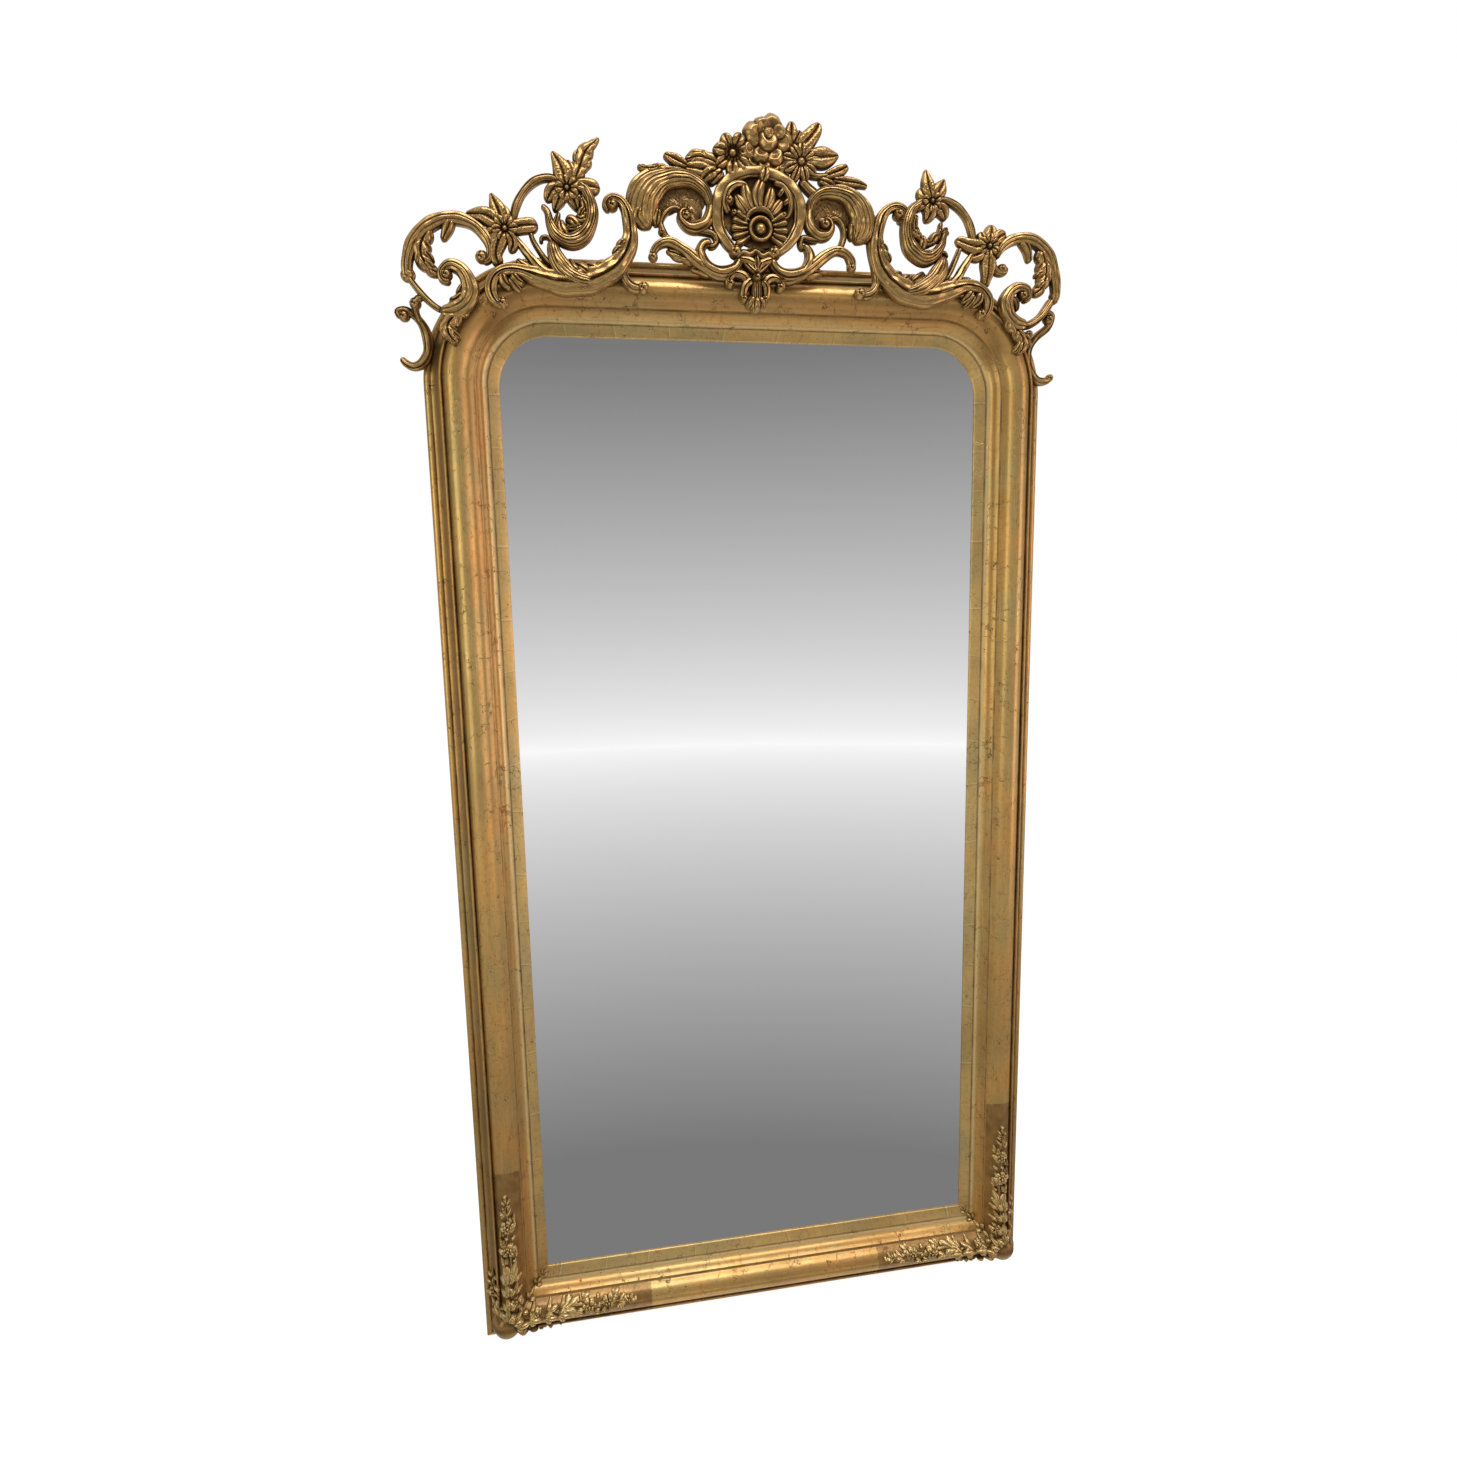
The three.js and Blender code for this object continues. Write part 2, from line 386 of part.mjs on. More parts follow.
// ---------- the crest ----------
// Places are across from the middle and up from the top of the sight opening. The carving is
// by hand, so the two halves answer each other without being mirror images.
const CREST_ORIGIN = { x: 0, z: SIGHT_TOP };
const CREST = {
  cartouche_ring: { runs: [
    ['scroll', [[-20, 114, 8, 12], [-34, 118, 11, 13], [-48, 138, 14, 15], [-50, 170, 15, 16],
      [-38, 198, 15, 16], [-10, 216, 15, 16], [25, 216, 15, 16], [54, 203, 15, 16],
      [69, 178, 15, 16], [67, 146, 14, 15], [51, 121, 12, 13], [34, 113, 9, 12]]],
  ], domes: [[-27, 109, 8, 15], [33, 107, 8, 15]] },
  wing_left: { runs: [
    ['round', [[-210, 170, 6, 9], [-200, 175, 8, 11], [-187, 168, 10, 13], [-179, 150, 14, 14],
      [-178, 130, 19, 15]]],
    ['scroll', [[-178, 132, 18, 15], [-186, 108, 22, 16], [-206, 85, 26, 17], [-235, 68, 28, 18],
      [-268, 59, 27, 18], [-300, 58, 24, 17], [-330, 66, 17, 15], [-352, 68, 13, 14],
      [-368, 55, 12, 13], [-370, 38, 11, 12], [-362, 27, 8, 10]]],
    ['leaf', [[-258, 64, 12, 13], [-275, 80, 15, 16], [-285, 98, 14, 15], [-288, 112, 6, 9]]],
    ['blade', [[-225, 74, 10, 13], [-245, 74, 10, 14], [-258, 84, 5, 9]]],
    ['leaf', [[-290, 62, 9, 11], [-312, 79, 11, 13], [-325, 94, 8, 10], [-333, 108, 6, 8]]],
    ['blade', [[-292, 76, 8, 9], [-304, 95, 8, 10], [-313, 114, 6, 8]]],
    ['blade', [[-312, 66, 7, 9], [-325, 75, 9, 10], [-336, 84, 4, 6]]],
    ['blade', [[-196, 92, 16, 15], [-204, 94, 9, 12], [-208, 97, 5, 8]]],
    ['round', [[-184, 92, 9, 11], [-181, 73, 9, 11], [-172, 61, 12, 11], [-161, 58, 11, 10]]],
  ], domes: [[-203, 163, 9, 15], [-160, 60, 7, 12], [-354, 54, 6, 12]] },
  wing_right: { runs: [
    ['round', [[229, 176, 6, 9], [219, 182, 8, 11], [203, 180, 10, 13], [192, 164, 13, 14],
      [189, 143, 16, 14]]],
    ['scroll', [[189, 145, 15, 14], [191, 122, 19, 15], [198, 103, 22, 16], [214, 85, 25, 17],
      [238, 69, 27, 18], [268, 64, 27, 18], [298, 66, 25, 17], [325, 72, 20, 15],
      [346, 72, 14, 14], [362, 62, 13, 13], [370, 48, 12, 12], [365, 34, 9, 11]]],
    ['leaf', [[262, 72, 12, 13], [276, 88, 15, 16], [287, 103, 15, 15], [291, 114, 6, 9]]],
    ['blade', [[238, 78, 10, 13], [256, 84, 10, 13], [268, 96, 4, 8]]],
    ['leaf', [[288, 72, 10, 12], [316, 84, 12, 13], [330, 96, 9, 11], [337, 112, 7, 8]]],
    ['blade', [[318, 78, 8, 11], [334, 84, 9, 11], [347, 91, 4, 7]]],
    ['blade', [[294, 88, 8, 10], [307, 102, 8, 10], [316, 122, 6, 8]]],
    ['blade', [[202, 104, 12, 14], [208, 108, 8, 11], [212, 112, 4, 7]]],
    ['round', [[188, 100, 9, 11], [189, 78, 9, 11], [180, 63, 12, 11], [166, 59, 11, 10]]],
  ], domes: [[221, 170, 9, 15], [162, 61, 7, 12], [357, 33, 6, 11]] },
  acanthus_left: { runs: [
    ['scroll', [[-61, 176, 12, 14], [-72, 192, 17, 16], [-92, 203, 23, 18], [-118, 202, 29, 19],
      [-140, 188, 34, 19], [-152, 166, 35, 18], [-153, 149, 26, 15], [-152, 138, 12, 9]]],
    ['round', [[-60, 166, 10, 12], [-66, 150, 13, 13], [-80, 142, 15, 14], [-97, 144, 14, 13],
      [-105, 155, 11, 12], [-100, 164, 8, 11]]],
    ['blade', [[-74, 182, 20, 6], [-96, 180, 34, 7], [-118, 172, 20, 6]]],
    ['blade', [[-76, 160, 16, 6], [-92, 168, 24, 7], [-108, 168, 10, 6]]],
    ['round', [[-106, 168, 9, 10], [-122, 163, 9, 10], [-132, 150, 8, 10], [-131, 138, 7, 9],
      [-124, 129, 7, 9]]],
    ['leaf', [[-76, 142, 8, 11], [-64, 139, 8, 10], [-56, 131, 8, 10], [-60, 124, 6, 9]]],
    ['blade', [[-120, 206, 12, 14], [-138, 214, 10, 12], [-160, 216, 4, 8]]],
  ], domes: [[-95, 157, 6, 15]] },
  acanthus_right: { runs: [
    ['scroll', [[83, 170, 12, 14], [88, 184, 15, 16], [104, 193, 18, 17], [128, 193, 23, 18],
      [151, 184, 29, 19], [164, 165, 31, 18], [163, 149, 24, 15], [159, 137, 12, 9]]],
    ['round', [[84, 172, 11, 12], [87, 154, 13, 13], [98, 143, 14, 14], [112, 144, 12, 13],
      [118, 154, 10, 12], [113, 163, 7, 11]]],
    ['blade', [[96, 176, 20, 6], [116, 176, 30, 7], [138, 168, 18, 6]]],
    ['round', [[114, 166, 9, 10], [130, 160, 9, 10], [138, 147, 8, 10], [137, 135, 7, 9],
      [131, 126, 7, 9]]],
    ['leaf', [[98, 138, 8, 11], [84, 136, 8, 10], [74, 134, 8, 10], [74, 126, 6, 9]]],
    ['blade', [[74, 208, 12, 12], [86, 199, 11, 12], [98, 192, 8, 12]]],
  ], domes: [[107, 156, 6, 15]] },
  lower_scroll_left: { runs: [
    ['round', [[-59, 121, 7, 10], [-70, 117, 9, 12], [-75, 104, 11, 13], [-68, 90, 12, 14],
      [-51, 83, 12, 14], [-33, 85, 12, 14], [-21, 95, 11, 13], [-19, 105, 8, 11]]],
  ], domes: [] },
  lower_scroll_right: { runs: [
    ['round', [[74, 120, 7, 10], [84, 115, 9, 12], [86, 102, 11, 13], [76, 90, 12, 14],
      [59, 84, 12, 14], [43, 85, 12, 14], [31, 93, 11, 13], [28, 103, 8, 11]]],
  ], domes: [] },
  branch_left: { runs: [
    ['scroll', [[-34, 68, 6, 9], [-58, 78, 12, 13], [-84, 96, 16, 15], [-106, 111, 12, 13],
      [-124, 116, 11, 12], [-139, 110, 10, 11], [-147, 99, 8, 10]]],
    ['petal', [[-92, 96, 9, 11], [-108, 100, 9, 11], [-120, 104, 5, 8]]],
  ], domes: [[-142, 95, 6, 12], [-128, 122, 5, 11]] },
  branch_right: { runs: [
    ['scroll', [[38, 68, 6, 9], [60, 76, 12, 13], [87, 93, 15, 15], [106, 109, 12, 13],
      [125, 115, 11, 12], [142, 110, 10, 11], [152, 100, 8, 10]]],
    ['petal', [[86, 82, 9, 11], [98, 84, 8, 10], [106, 83, 4, 7]]],
  ], domes: [[147, 96, 6, 12], [131, 121, 5, 11]] },
  pendant: { runs: [
    ['leaf', [[5, 98, 16, 12], [5, 80, 20, 16], [4, 60, 20, 19], [4, 42, 18, 20], [4, 24, 7, 9]]],
    ['petal', [[-4, 74, 9, 13], [-18, 77, 10, 14], [-31, 72, 9, 12], [-34, 63, 6, 9]]],
    ['petal', [[12, 68, 9, 13], [27, 73, 10, 14], [40, 69, 9, 12], [44, 60, 6, 9]]],
    ['petal', [[-6, 70, 12, 14], [-15, 56, 12, 15], [-13, 42, 6, 9]]],
    ['petal', [[12, 66, 12, 14], [18, 54, 12, 15], [15, 42, 6, 9]]],
    ['petal', [[-22, 97, 11, 12], [5, 90, 16, 17], [30, 97, 11, 12]]],
  ], domes: [[5, 104, 13, 16]] },
  ring_scroll_left: { runs: [
    ['round', [[-258, 180, 7, 10], [-245, 176, 10, 12], [-235, 161, 12, 13], [-234, 141, 14, 14],
      [-243, 121, 16, 15], [-260, 113, 17, 15], [-277, 121, 15, 14], [-286, 138, 11, 13],
      [-290, 150, 8, 11], [-298, 155, 5, 8]]],
    ['leaf', [[-280, 132, 10, 11], [-268, 126, 10, 12], [-252, 128, 9, 12], [-243, 140, 6, 10]]],
    ['round', [[-338, 136, 7, 9], [-334, 155, 9, 10], [-323, 174, 10, 11], [-305, 189, 10, 11],
      [-285, 192, 10, 11], [-266, 186, 9, 10], [-257, 180, 7, 10]]],
    ['petal', [[-280, 122, 7, 10], [-290, 115, 7, 9], [-298, 111, 5, 8]]],
  ], domes: [] },
  ring_scroll_right: { runs: [
    ['round', [[264, 184, 7, 10], [248, 179, 10, 12], [237, 163, 12, 13], [236, 143, 14, 14],
      [244, 125, 16, 15], [260, 116, 17, 15], [277, 121, 15, 14], [289, 134, 11, 13],
      [294, 147, 8, 11], [301, 153, 5, 8]]],
    ['leaf', [[247, 152, 7, 11], [256, 137, 9, 12], [272, 134, 9, 12], [285, 140, 7, 10]]],
    ['round', [[262, 184, 7, 10], [276, 191, 9, 10], [295, 194, 10, 11], [315, 185, 10, 11],
      [332, 168, 10, 11], [341, 150, 9, 10], [344, 136, 7, 9]]],
    ['petal', [[282, 124, 7, 10], [294, 122, 7, 9], [302, 117, 5, 8]]],
  ], domes: [] },
  corner_scroll_left: { runs: [
    ['scroll', [[-482, 60, 11, 11], [-480, 80, 13, 13], [-472, 102, 15, 14], [-455, 121, 16, 15],
      [-432, 132, 15, 15], [-408, 133, 13, 14], [-388, 123, 11, 13], [-377, 106, 10, 12],
      [-377, 94, 8, 11]]],
    ['leaf', [[-457, 112, 10, 12], [-463, 95, 14, 15], [-460, 78, 13, 14], [-448, 67, 9, 11],
      [-441, 64, 3, 7]]],
    ['petal', [[-440, 130, 9, 12], [-438, 116, 10, 12], [-440, 104, 4, 7]]],
    ['round', [[-482, 62, 8, 9], [-470, 42, 8, 10], [-458, 28, 8, 10], [-448, 20, 6, 8]]],
  ], domes: [[-384, 88, 9, 13], [-481, 60, 7, 12]] },
  corner_scroll_right: { runs: [
    ['scroll', [[384, 128, 8, 11], [398, 142, 13, 14], [418, 146, 15, 15], [440, 140, 16, 15],
      [458, 124, 16, 15], [470, 101, 15, 14], [476, 81, 13, 13], [475, 66, 10, 11]]],
    ['leaf', [[450, 126, 12, 13], [460, 102, 15, 15], [458, 84, 14, 14], [448, 73, 9, 11],
      [440, 70, 3, 7]]],
    ['petal', [[424, 140, 10, 12], [431, 127, 10, 12], [431, 116, 4, 7]]],
  ], domes: [[476, 66, 7, 12]] },
  small_scroll_left: { runs: [
    ['scroll', [[-433, 62, 6, 9], [-428, 71, 9, 11], [-415, 73, 10, 12], [-402, 64, 13, 14],
      [-398, 48, 16, 15], [-403, 33, 17, 15], [-418, 23, 13, 13], [-434, 21, 10, 11]]],
    ['leaf', [[-402, 26, 12, 13], [-420, 10, 13, 13], [-433, -3, 12, 12], [-432, -16, 11, 11],
      [-424, -27, 6, 7]]],
    ['petal', [[-405, 58, 9, 12], [-413, 46, 9, 12], [-417, 34, 6, 9]]],
  ], domes: [[-427, 61, 7, 14]] },
  small_scroll_right: { runs: [
    ['scroll', [[425, 58, 6, 9], [427, 68, 8, 11], [416, 74, 10, 12], [402, 69, 12, 13],
      [394, 54, 15, 15], [400, 38, 16, 15], [416, 29, 13, 13], [436, 30, 11, 12],
      [454, 41, 9, 11], [466, 55, 8, 10]]],
    ['leaf', [[396, 34, 13, 13], [408, 18, 13, 13], [422, 5, 13, 12], [424, -8, 11, 11],
      [417, -20, 8, 8]]],
    ['petal', [[404, 56, 9, 12], [411, 47, 9, 12], [412, 38, 6, 9]]],
    ['round', [[420, 10, 8, 10], [432, 14, 8, 9], [438, 8, 6, 8]]],
  ], domes: [[420, 64, 7, 14]] },
  tail_left: { runs: [
    ['round', [[-499, 13, 6, 8, -16], [-491, 18, 8, 10, -16], [-476, 12, 9, 11, -20],
      [-466, -1, 11, 12, -26], [-463, -18, 12, 13, -32], [-464, -34, 12, 13, -33],
      [-473, -47, 11, 12, -33], [-486, -51, 10, 11, -33], [-499, -44, 8, 9, -33],
      [-504, -38, 5, 7, -33]]],
    ['round', [[-477, 12, 8, 9, -18], [-474, 20, 8, 10, -12], [-472, 30, 7, 10, -6]]],
  ], domes: [[-494, 12, 7, 13, -18], [-475, 31, 7, 13, -7]] },
  tail_right: { runs: [
    ['round', [[468, 36, 9, 10, -4], [466, 24, 9, 11, -10], [455, 12, 10, 12, -20],
      [446, -2, 12, 13, -26], [446, -20, 12, 13, -32], [453, -38, 12, 13, -33],
      [467, -51, 12, 12, -33], [483, -51, 10, 11, -33], [494, -44, 6, 8, -33]]],
  ], domes: [[469, 38, 8, 13, -6]] },
};

// The cartouche is closed by a dished panel; a shell of spreading ribs rises from its boss.
const CARTOUCHE = { x: 9, z: 165, width: 108, height: 100, panel: 5 };
const BOSS = { x: 10, z: 139, radius: 8, ring: 18 };
const SHELL = { ribs: 9, from: 20, to: 60, spread: 0.86 * Math.PI, thickness: 13 };

function cartouchePanel(origin, base, grow) {
  const outline = new THREE.Shape();
  outline.absellipse(0, 0, CARTOUCHE.width / 2 + grow, CARTOUCHE.height / 2 + grow, 0, 2 * Math.PI);
  const sheet = new THREE.ExtrudeGeometry(
    outline, { depth: CARTOUCHE.panel + 2 * grow, bevelEnabled: false, curveSegments: 8 });
  sheet.rotateX(Math.PI / 2);
  sheet.translate(origin.x + CARTOUCHE.x, -SIGHT_DEPTH - base + grow, origin.z + CARTOUCHE.z);
  return solid(sheet);
}

function cabochon(origin, base, grow) {
  const r = BOSS.ring + grow;
  const b = BOSS.radius;
  const profile = [point(0, 0), point(r, 0), point(r, 8), point(r - 2.5, 11), point(r - 5, 8),
    point(b + 1, 3), point(b, 7), point(b * 0.7, 11.5), point(0, 14)];
  const shape = new THREE.LatheGeometry(profile, 12);
  shape.rotateX(Math.PI);
  shape.translate(
    origin.x + BOSS.x, -SIGHT_DEPTH - base - CARTOUCHE.panel - 2 * GAP + grow, origin.z + BOSS.z);
  return solid(shape);
}

function shell(origin, base, grow) {
  const lift = CARTOUCHE.panel + 2 * GAP;
  const ribs = Array.from({ length: SHELL.ribs }, (_, i) => {
    const angle = Math.PI / 2 + SHELL.spread * (i / (SHELL.ribs - 1) - 0.5);
    const breadth = (reach) => (SHELL.spread / (SHELL.ribs - 1)) * reach * 1.25;
    const rib = [0.3, 0.65, 1].map((share) => {
      const reach = SHELL.from + (SHELL.to - SHELL.from) * share * (0.8 + 0.2 * Math.sin(angle));
      return [BOSS.x + reach * Math.cos(angle), BOSS.z + reach * Math.sin(angle),
        breadth(reach) * (share === 1 ? 0.7 : 1), SHELL.thickness * (1.05 - 0.4 * share), lift];
    });
    return run('round', rib, origin, base, grow);
  });
  return union(ribs);
}

const BOUQUET = {
  spray_left: { domes: [], runs: [
    ['petal', [[-50, 218, 12, 10], [-70, 230, 22, 13], [-92, 232, 7, 8]]],
    ['petal', [[-56, 212, 10, 10], [-78, 214, 18, 12], [-98, 222, 7, 8]]],
    ['petal', [[-42, 212, 12, 11], [-58, 206, 13, 12], [-72, 198, 8, 10]]],
    ['petal', [[-92, 221, 8, 8], [-112, 230, 13, 11], [-126, 236, 5, 6]]],
  ] },
  spray_right: { domes: [], runs: [
    ['petal', [[70, 250, 12, 10], [87, 270, 19, 13], [99, 288, 7, 7]]],
    ['petal', [[78, 250, 14, 10], [106, 249, 22, 12], [128, 250, 3, 5]]],
    ['petal', [[64, 256, 10, 10], [60, 276, 13, 11], [60, 293, 4, 6]]],
    ['leaf', [[72, 226, 10, 10], [104, 220, 10, 10], [132, 229, 14, 11], [147, 235, 6, 7]]],
    ['leaf', [[90, 222, 9, 9], [122, 211, 11, 10], [155, 209, 14, 11], [172, 209, 6, 7]]],
    ['petal', [[70, 226, 12, 10], [76, 240, 14, 10], [80, 252, 12, 10]]],
  ] },
  daisy_left: { blooms: [{ at: [-28, 243], radius: 29, petals: 8, thickness: 14, lift: 2, fine: 3 }] },
  daisy_right: { blooms: [{ at: [71, 240], radius: 26, petals: 7, thickness: 14, lift: 2, fine: 3 }] },
  rose: { blooms: [
    { at: [29, 262], radius: 34, petals: 6, thickness: 18, cut: 0.2, fine: 3 },
    { at: [29, 262], radius: 22, petals: 5, thickness: 13, cut: 0.25, lift: 12, turn: 0.5, fine: 3 },
  ] },
  upper_flower_left: { blooms: [{ at: [-261, 181], radius: 18, petals: 5, thickness: 15, turn: 0.2 }],
    runs: [
    ['petal', [[-264, 186, 12, 11], [-271, 206, 18, 12], [-281, 226, 2, 5]]],
    ['leaf', [[-256, 190, 12, 11], [-246, 210, 19, 12], [-236, 230, 14, 10], [-214, 248, 3, 5]]],
    ['petal', [[-252, 182, 11, 11], [-232, 183, 18, 12], [-217, 186, 12, 8]]],
    ['petal', [[-268, 178, 10, 10], [-284, 172, 14, 11], [-291, 158, 4, 6]]],
    ['petal', [[-254, 176, 10, 10], [-248, 162, 12, 11], [-245, 146, 5, 7]]],
  ] },
  upper_flower_right: { blooms: [{ at: [276, 190], radius: 16, petals: 5, thickness: 15, turn: 0.5 }],
    runs: [
    ['petal', [[272, 196, 10, 10], [267, 216, 13, 11], [264, 236, 2, 5]]],
    ['petal', [[279, 196, 10, 10], [285, 210, 12, 11], [295, 223, 2, 5]]],
    ['petal', [[268, 192, 9, 10], [259, 202, 10, 10], [256, 212, 6, 7]]],
    ['petal', [[282, 184, 10, 10], [295, 175, 11, 10], [303, 165, 5, 6]]],
    ['petal', [[270, 184, 9, 10], [268, 172, 12, 11], [260, 160, 5, 7]]],
  ] },
  lower_flower_left: { blooms: [{ at: [-350, 122], radius: 19, petals: 6, thickness: 15, turn: 0.1 }],
    runs: [
    ['petal', [[-352, 126, 11, 11], [-357, 148, 18, 12], [-366, 171, 2, 5]]],
    ['petal', [[-356, 128, 11, 11], [-377, 142, 17, 12], [-398, 140, 4, 6]]],
    ['petal', [[-342, 125, 9, 10], [-320, 132, 15, 12], [-304, 134, 10, 8]]],
    ['petal', [[-356, 118, 12, 10], [-364, 100, 14, 11], [-360, 80, 10, 10]]],
  ] },
  lower_flower_right: { blooms: [{ at: [362, 130], radius: 19, petals: 6, thickness: 15, turn: 0.5 }],
    domes: [[387, 103, 7, 12]], runs: [
    ['petal', [[364, 136, 10, 10], [367, 152, 19, 12], [368, 166, 8, 8]]],
    ['petal', [[356, 130, 9, 10], [334, 132, 15, 12], [314, 140, 12, 8]]],
    ['petal', [[368, 136, 9, 10], [382, 148, 14, 11], [393, 153, 5, 6]]],
    ['petal', [[362, 122, 14, 10], [363, 100, 16, 11], [361, 82, 12, 10]]],
    ['round', [[366, 108, 9, 9], [378, 98, 9, 9], [389, 97, 6, 8]]],
  ] },
};

// Everything that is carved and stands: each new piece is cut clear of those before it.
const standing = [];
function seat(name, carve, material) {
  let piece = carve(0);
  const reach = carve(GAP);
  const box = reach.boundingBox();
  for (const other of standing) {
    const apart = [0, 1, 2].some((k) => other.box.min[k] > box.max[k] || other.box.max[k] < box.min[k]);
    if (!apart) piece = piece.subtract(other.reach);
  }
  standing.push({ name, reach, box });
  place(name, wholePiece(piece), material);
}

const carved = ({ runs = [], domes = [], blooms = [] }, origin, base) => (grow) => union([
  ...runs.map(([kind, points]) => run(kind, points, origin, base, grow)),
  ...domes.map((eye) => dome(eye, origin, base, grow)),
  ...blooms.map((head) => bloom(head, origin, base, grow)),
]);

function buildCrest() {
  for (const [name, piece] of Object.entries(CREST)) {
    seat(name, carved(piece, CREST_ORIGIN, CREST_BACK), crestGilding);
  }
  seat('cabochon', (grow) => cabochon(CREST_ORIGIN, CREST_BACK, grow), crestGilding);
  seat('shell', (grow) => shell(CREST_ORIGIN, CREST_BACK, grow), crestGilding);
  seat('cartouche_panel', (grow) => cartouchePanel(CREST_ORIGIN, CREST_BACK, grow), crestGilding);
  for (const [name, piece] of Object.entries(BOUQUET)) {
    seat(name, carved(piece, CREST_ORIGIN, CREST_BACK), crestGilding);
  }
}

// ---------- ornament on the bottom corners ----------
// Pressed leaves and small flowers follow the crown of the moulding away from a round boss,
// and a sprig runs across the mitre to the corner of the glass. `out` is the distance out
// from the sight edge and `up` or `along` the distance from the sight opening's corner.
const ORNAMENT = {
  boss: { out: 67, radius: 25, height: 22, lift: -16 },
  left: { stile: { from: 22, to: 178, out: 60 }, rail: { from: 22, to: 152, out: 47 } },
  right: { stile: { from: 22, to: 184, out: 56 }, rail: { from: 22, to: 166, out: 47 } },
  sprayWidth: 30,
  pitch: 42, // from one pair of leaves to the next
  relief: 7, // how far the leaves stand off the face
  sunk: 5, // how far their backs start below it, before they are cut to it
};

// A stem with leaves in pairs and a flower on every third pair; `map` turns distances along
// and out into a place on the face.
function spray(map, side, { from, to, out }) {
  const { relief, sunk, sprayWidth } = ORNAMENT;
  const node = (along, aside, breadth, thickness) => {
    const [x, z] = map(side, along, out + aside);
    return [x, z, breadth, thickness + sunk, faceHeight(out + aside) - sunk - CREST_BACK];
  };
  const pairs = Math.round((to - from) / ORNAMENT.pitch);
  const pitch = (to - from) / pairs;
  const stem = Array.from({ length: pairs + 1 }, (_, i) => node(
    from + i * pitch, 2 * Math.sin(i * 2.4), i === pairs ? 3 : 7, relief * 0.7));
  const runs = [['blade', stem]];
  for (let i = 0; i < pairs; i++) {
    const root = from + (i + 0.2) * pitch;
    const spread = sprayWidth * (i === pairs - 1 ? 0.32 : 0.5);
    for (const hand of [-1, 1]) {
      runs.push(['blade', [node(root, 0, 6, relief * 0.8),
        node(root + pitch * 0.4, hand * spread * 0.65, 11, relief),
        node(root + pitch * 0.85, hand * spread, 3, relief * 0.4)]]);
    }
  }
  const blooms = [];
  for (let i = 1; i < pairs; i += 2) {
    const [x, z, , thickness, lift] = node(from + i * pitch, 0, 0, relief * 1.2);
    blooms.push({ at: [x, z], radius: 11, petals: 5, thickness, lift });
  }
  return { runs, blooms };
}

const upStile = (side, along, out) => [side * (HALF_SIGHT + out), along];
const alongRail = (side, along, out) => [side * (HALF_SIGHT - along), -out];

function cornerOrnament(side) {
  const { boss, relief, sunk } = ORNAMENT;
  const centre = [side * (HALF_SIGHT + boss.out), -boss.out];
  const node = (out, down, breadth, thickness) => [side * (HALF_SIGHT + out), -down, breadth,
    thickness + sunk, faceHeight(Math.max(out, down)) - sunk - CREST_BACK];
  const runs = [
    ['blade', [node(46, 46, 22, relief), node(26, 26, 15, relief), node(8, 8, 12, 5), node(0.5, 0.5, 4, 4)]],
    ['blade', [node(58, 40, 18, relief), node(59, 10, 22, relief), node(57, -22, 16, relief)]],
    ['blade', [node(40, 58, 18, relief), node(10, 56, 22, relief), node(-22, 48, 16, relief)]],
    ['blade', [node(80, 50, 16, relief), node(88, 22, 15, 10), node(90, -14, 5, 6)]],
    ['blade', [node(50, 80, 16, relief), node(22, 82, 15, 8), node(-4, 80, 5, 5)]],
  ];
  const dome = [...centre, boss.radius, boss.height + 12, boss.lift - 12];
  return { runs, domes: [dome] };
}

function buildBottomOrnament() {
  const origin = { x: 0, z: SIGHT_BOTTOM };
  for (const [side, hand] of [[-1, 'left'], [1, 'right']]) {
    const pieces = {
      corner_ornament: cornerOrnament(side),
      stile_spray: spray(upStile, side, ORNAMENT[hand].stile),
      rail_spray: spray(alongRail, side, ORNAMENT[hand].rail),
    };
    for (const [name, piece] of Object.entries(pieces)) {
      seat(`${name}_${hand}`, carved(piece, origin, CREST_BACK), composition);
    }
  }
}

// A flat iron strap: its foot lies along the top edge of the rail and is screwed there, and
// its limb stands up behind the cartouche and carries the middle of the crest.
const STRAP = { x: 10, width: 30, thickness: 4, height: 190, footEnd: -4 };

function buildStrap() {
  const top = SIGHT_TOP + MOULDING + GAP;
  const back = -SIGHT_DEPTH - CREST_BACK + GAP; // Y of the crest's back, less the gap
  const [low, high] = [STRAP.x - STRAP.width / 2, STRAP.x + STRAP.width / 2];
  const foot = block(low, high, back, STRAP.footEnd, top, top + STRAP.thickness);
  const limb = block(low, high, back, back + STRAP.thickness, top, SIGHT_TOP + STRAP.height);
  place('crest_strap', foot.add(limb), iron);
}

// The carving is cut to the moulding's face too, a gap in front of it.
function standOnFrame(seats) {
  for (const [name, body] of Object.entries(seats)) {
    const reach = body.translate([0, -GAP, 0]);
    standing.push({ name, reach, box: reach.boundingBox() });
  }
}

standOnFrame(buildFrame());
buildSlips();
buildGlassAndBack();
buildHangers();
buildCrest();
buildBottomOrnament();
buildStrap();

export default mirror;
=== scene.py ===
# %% [markdown]
# # A tall gilded wall mirror
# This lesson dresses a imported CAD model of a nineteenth-century gilt mirror. The CAD frame
# stays where it is and says where everything goes. New pieces are surfaces worked out with
# numpy, in metres: X runs to the right, Y back to the wall and Z up.

import math

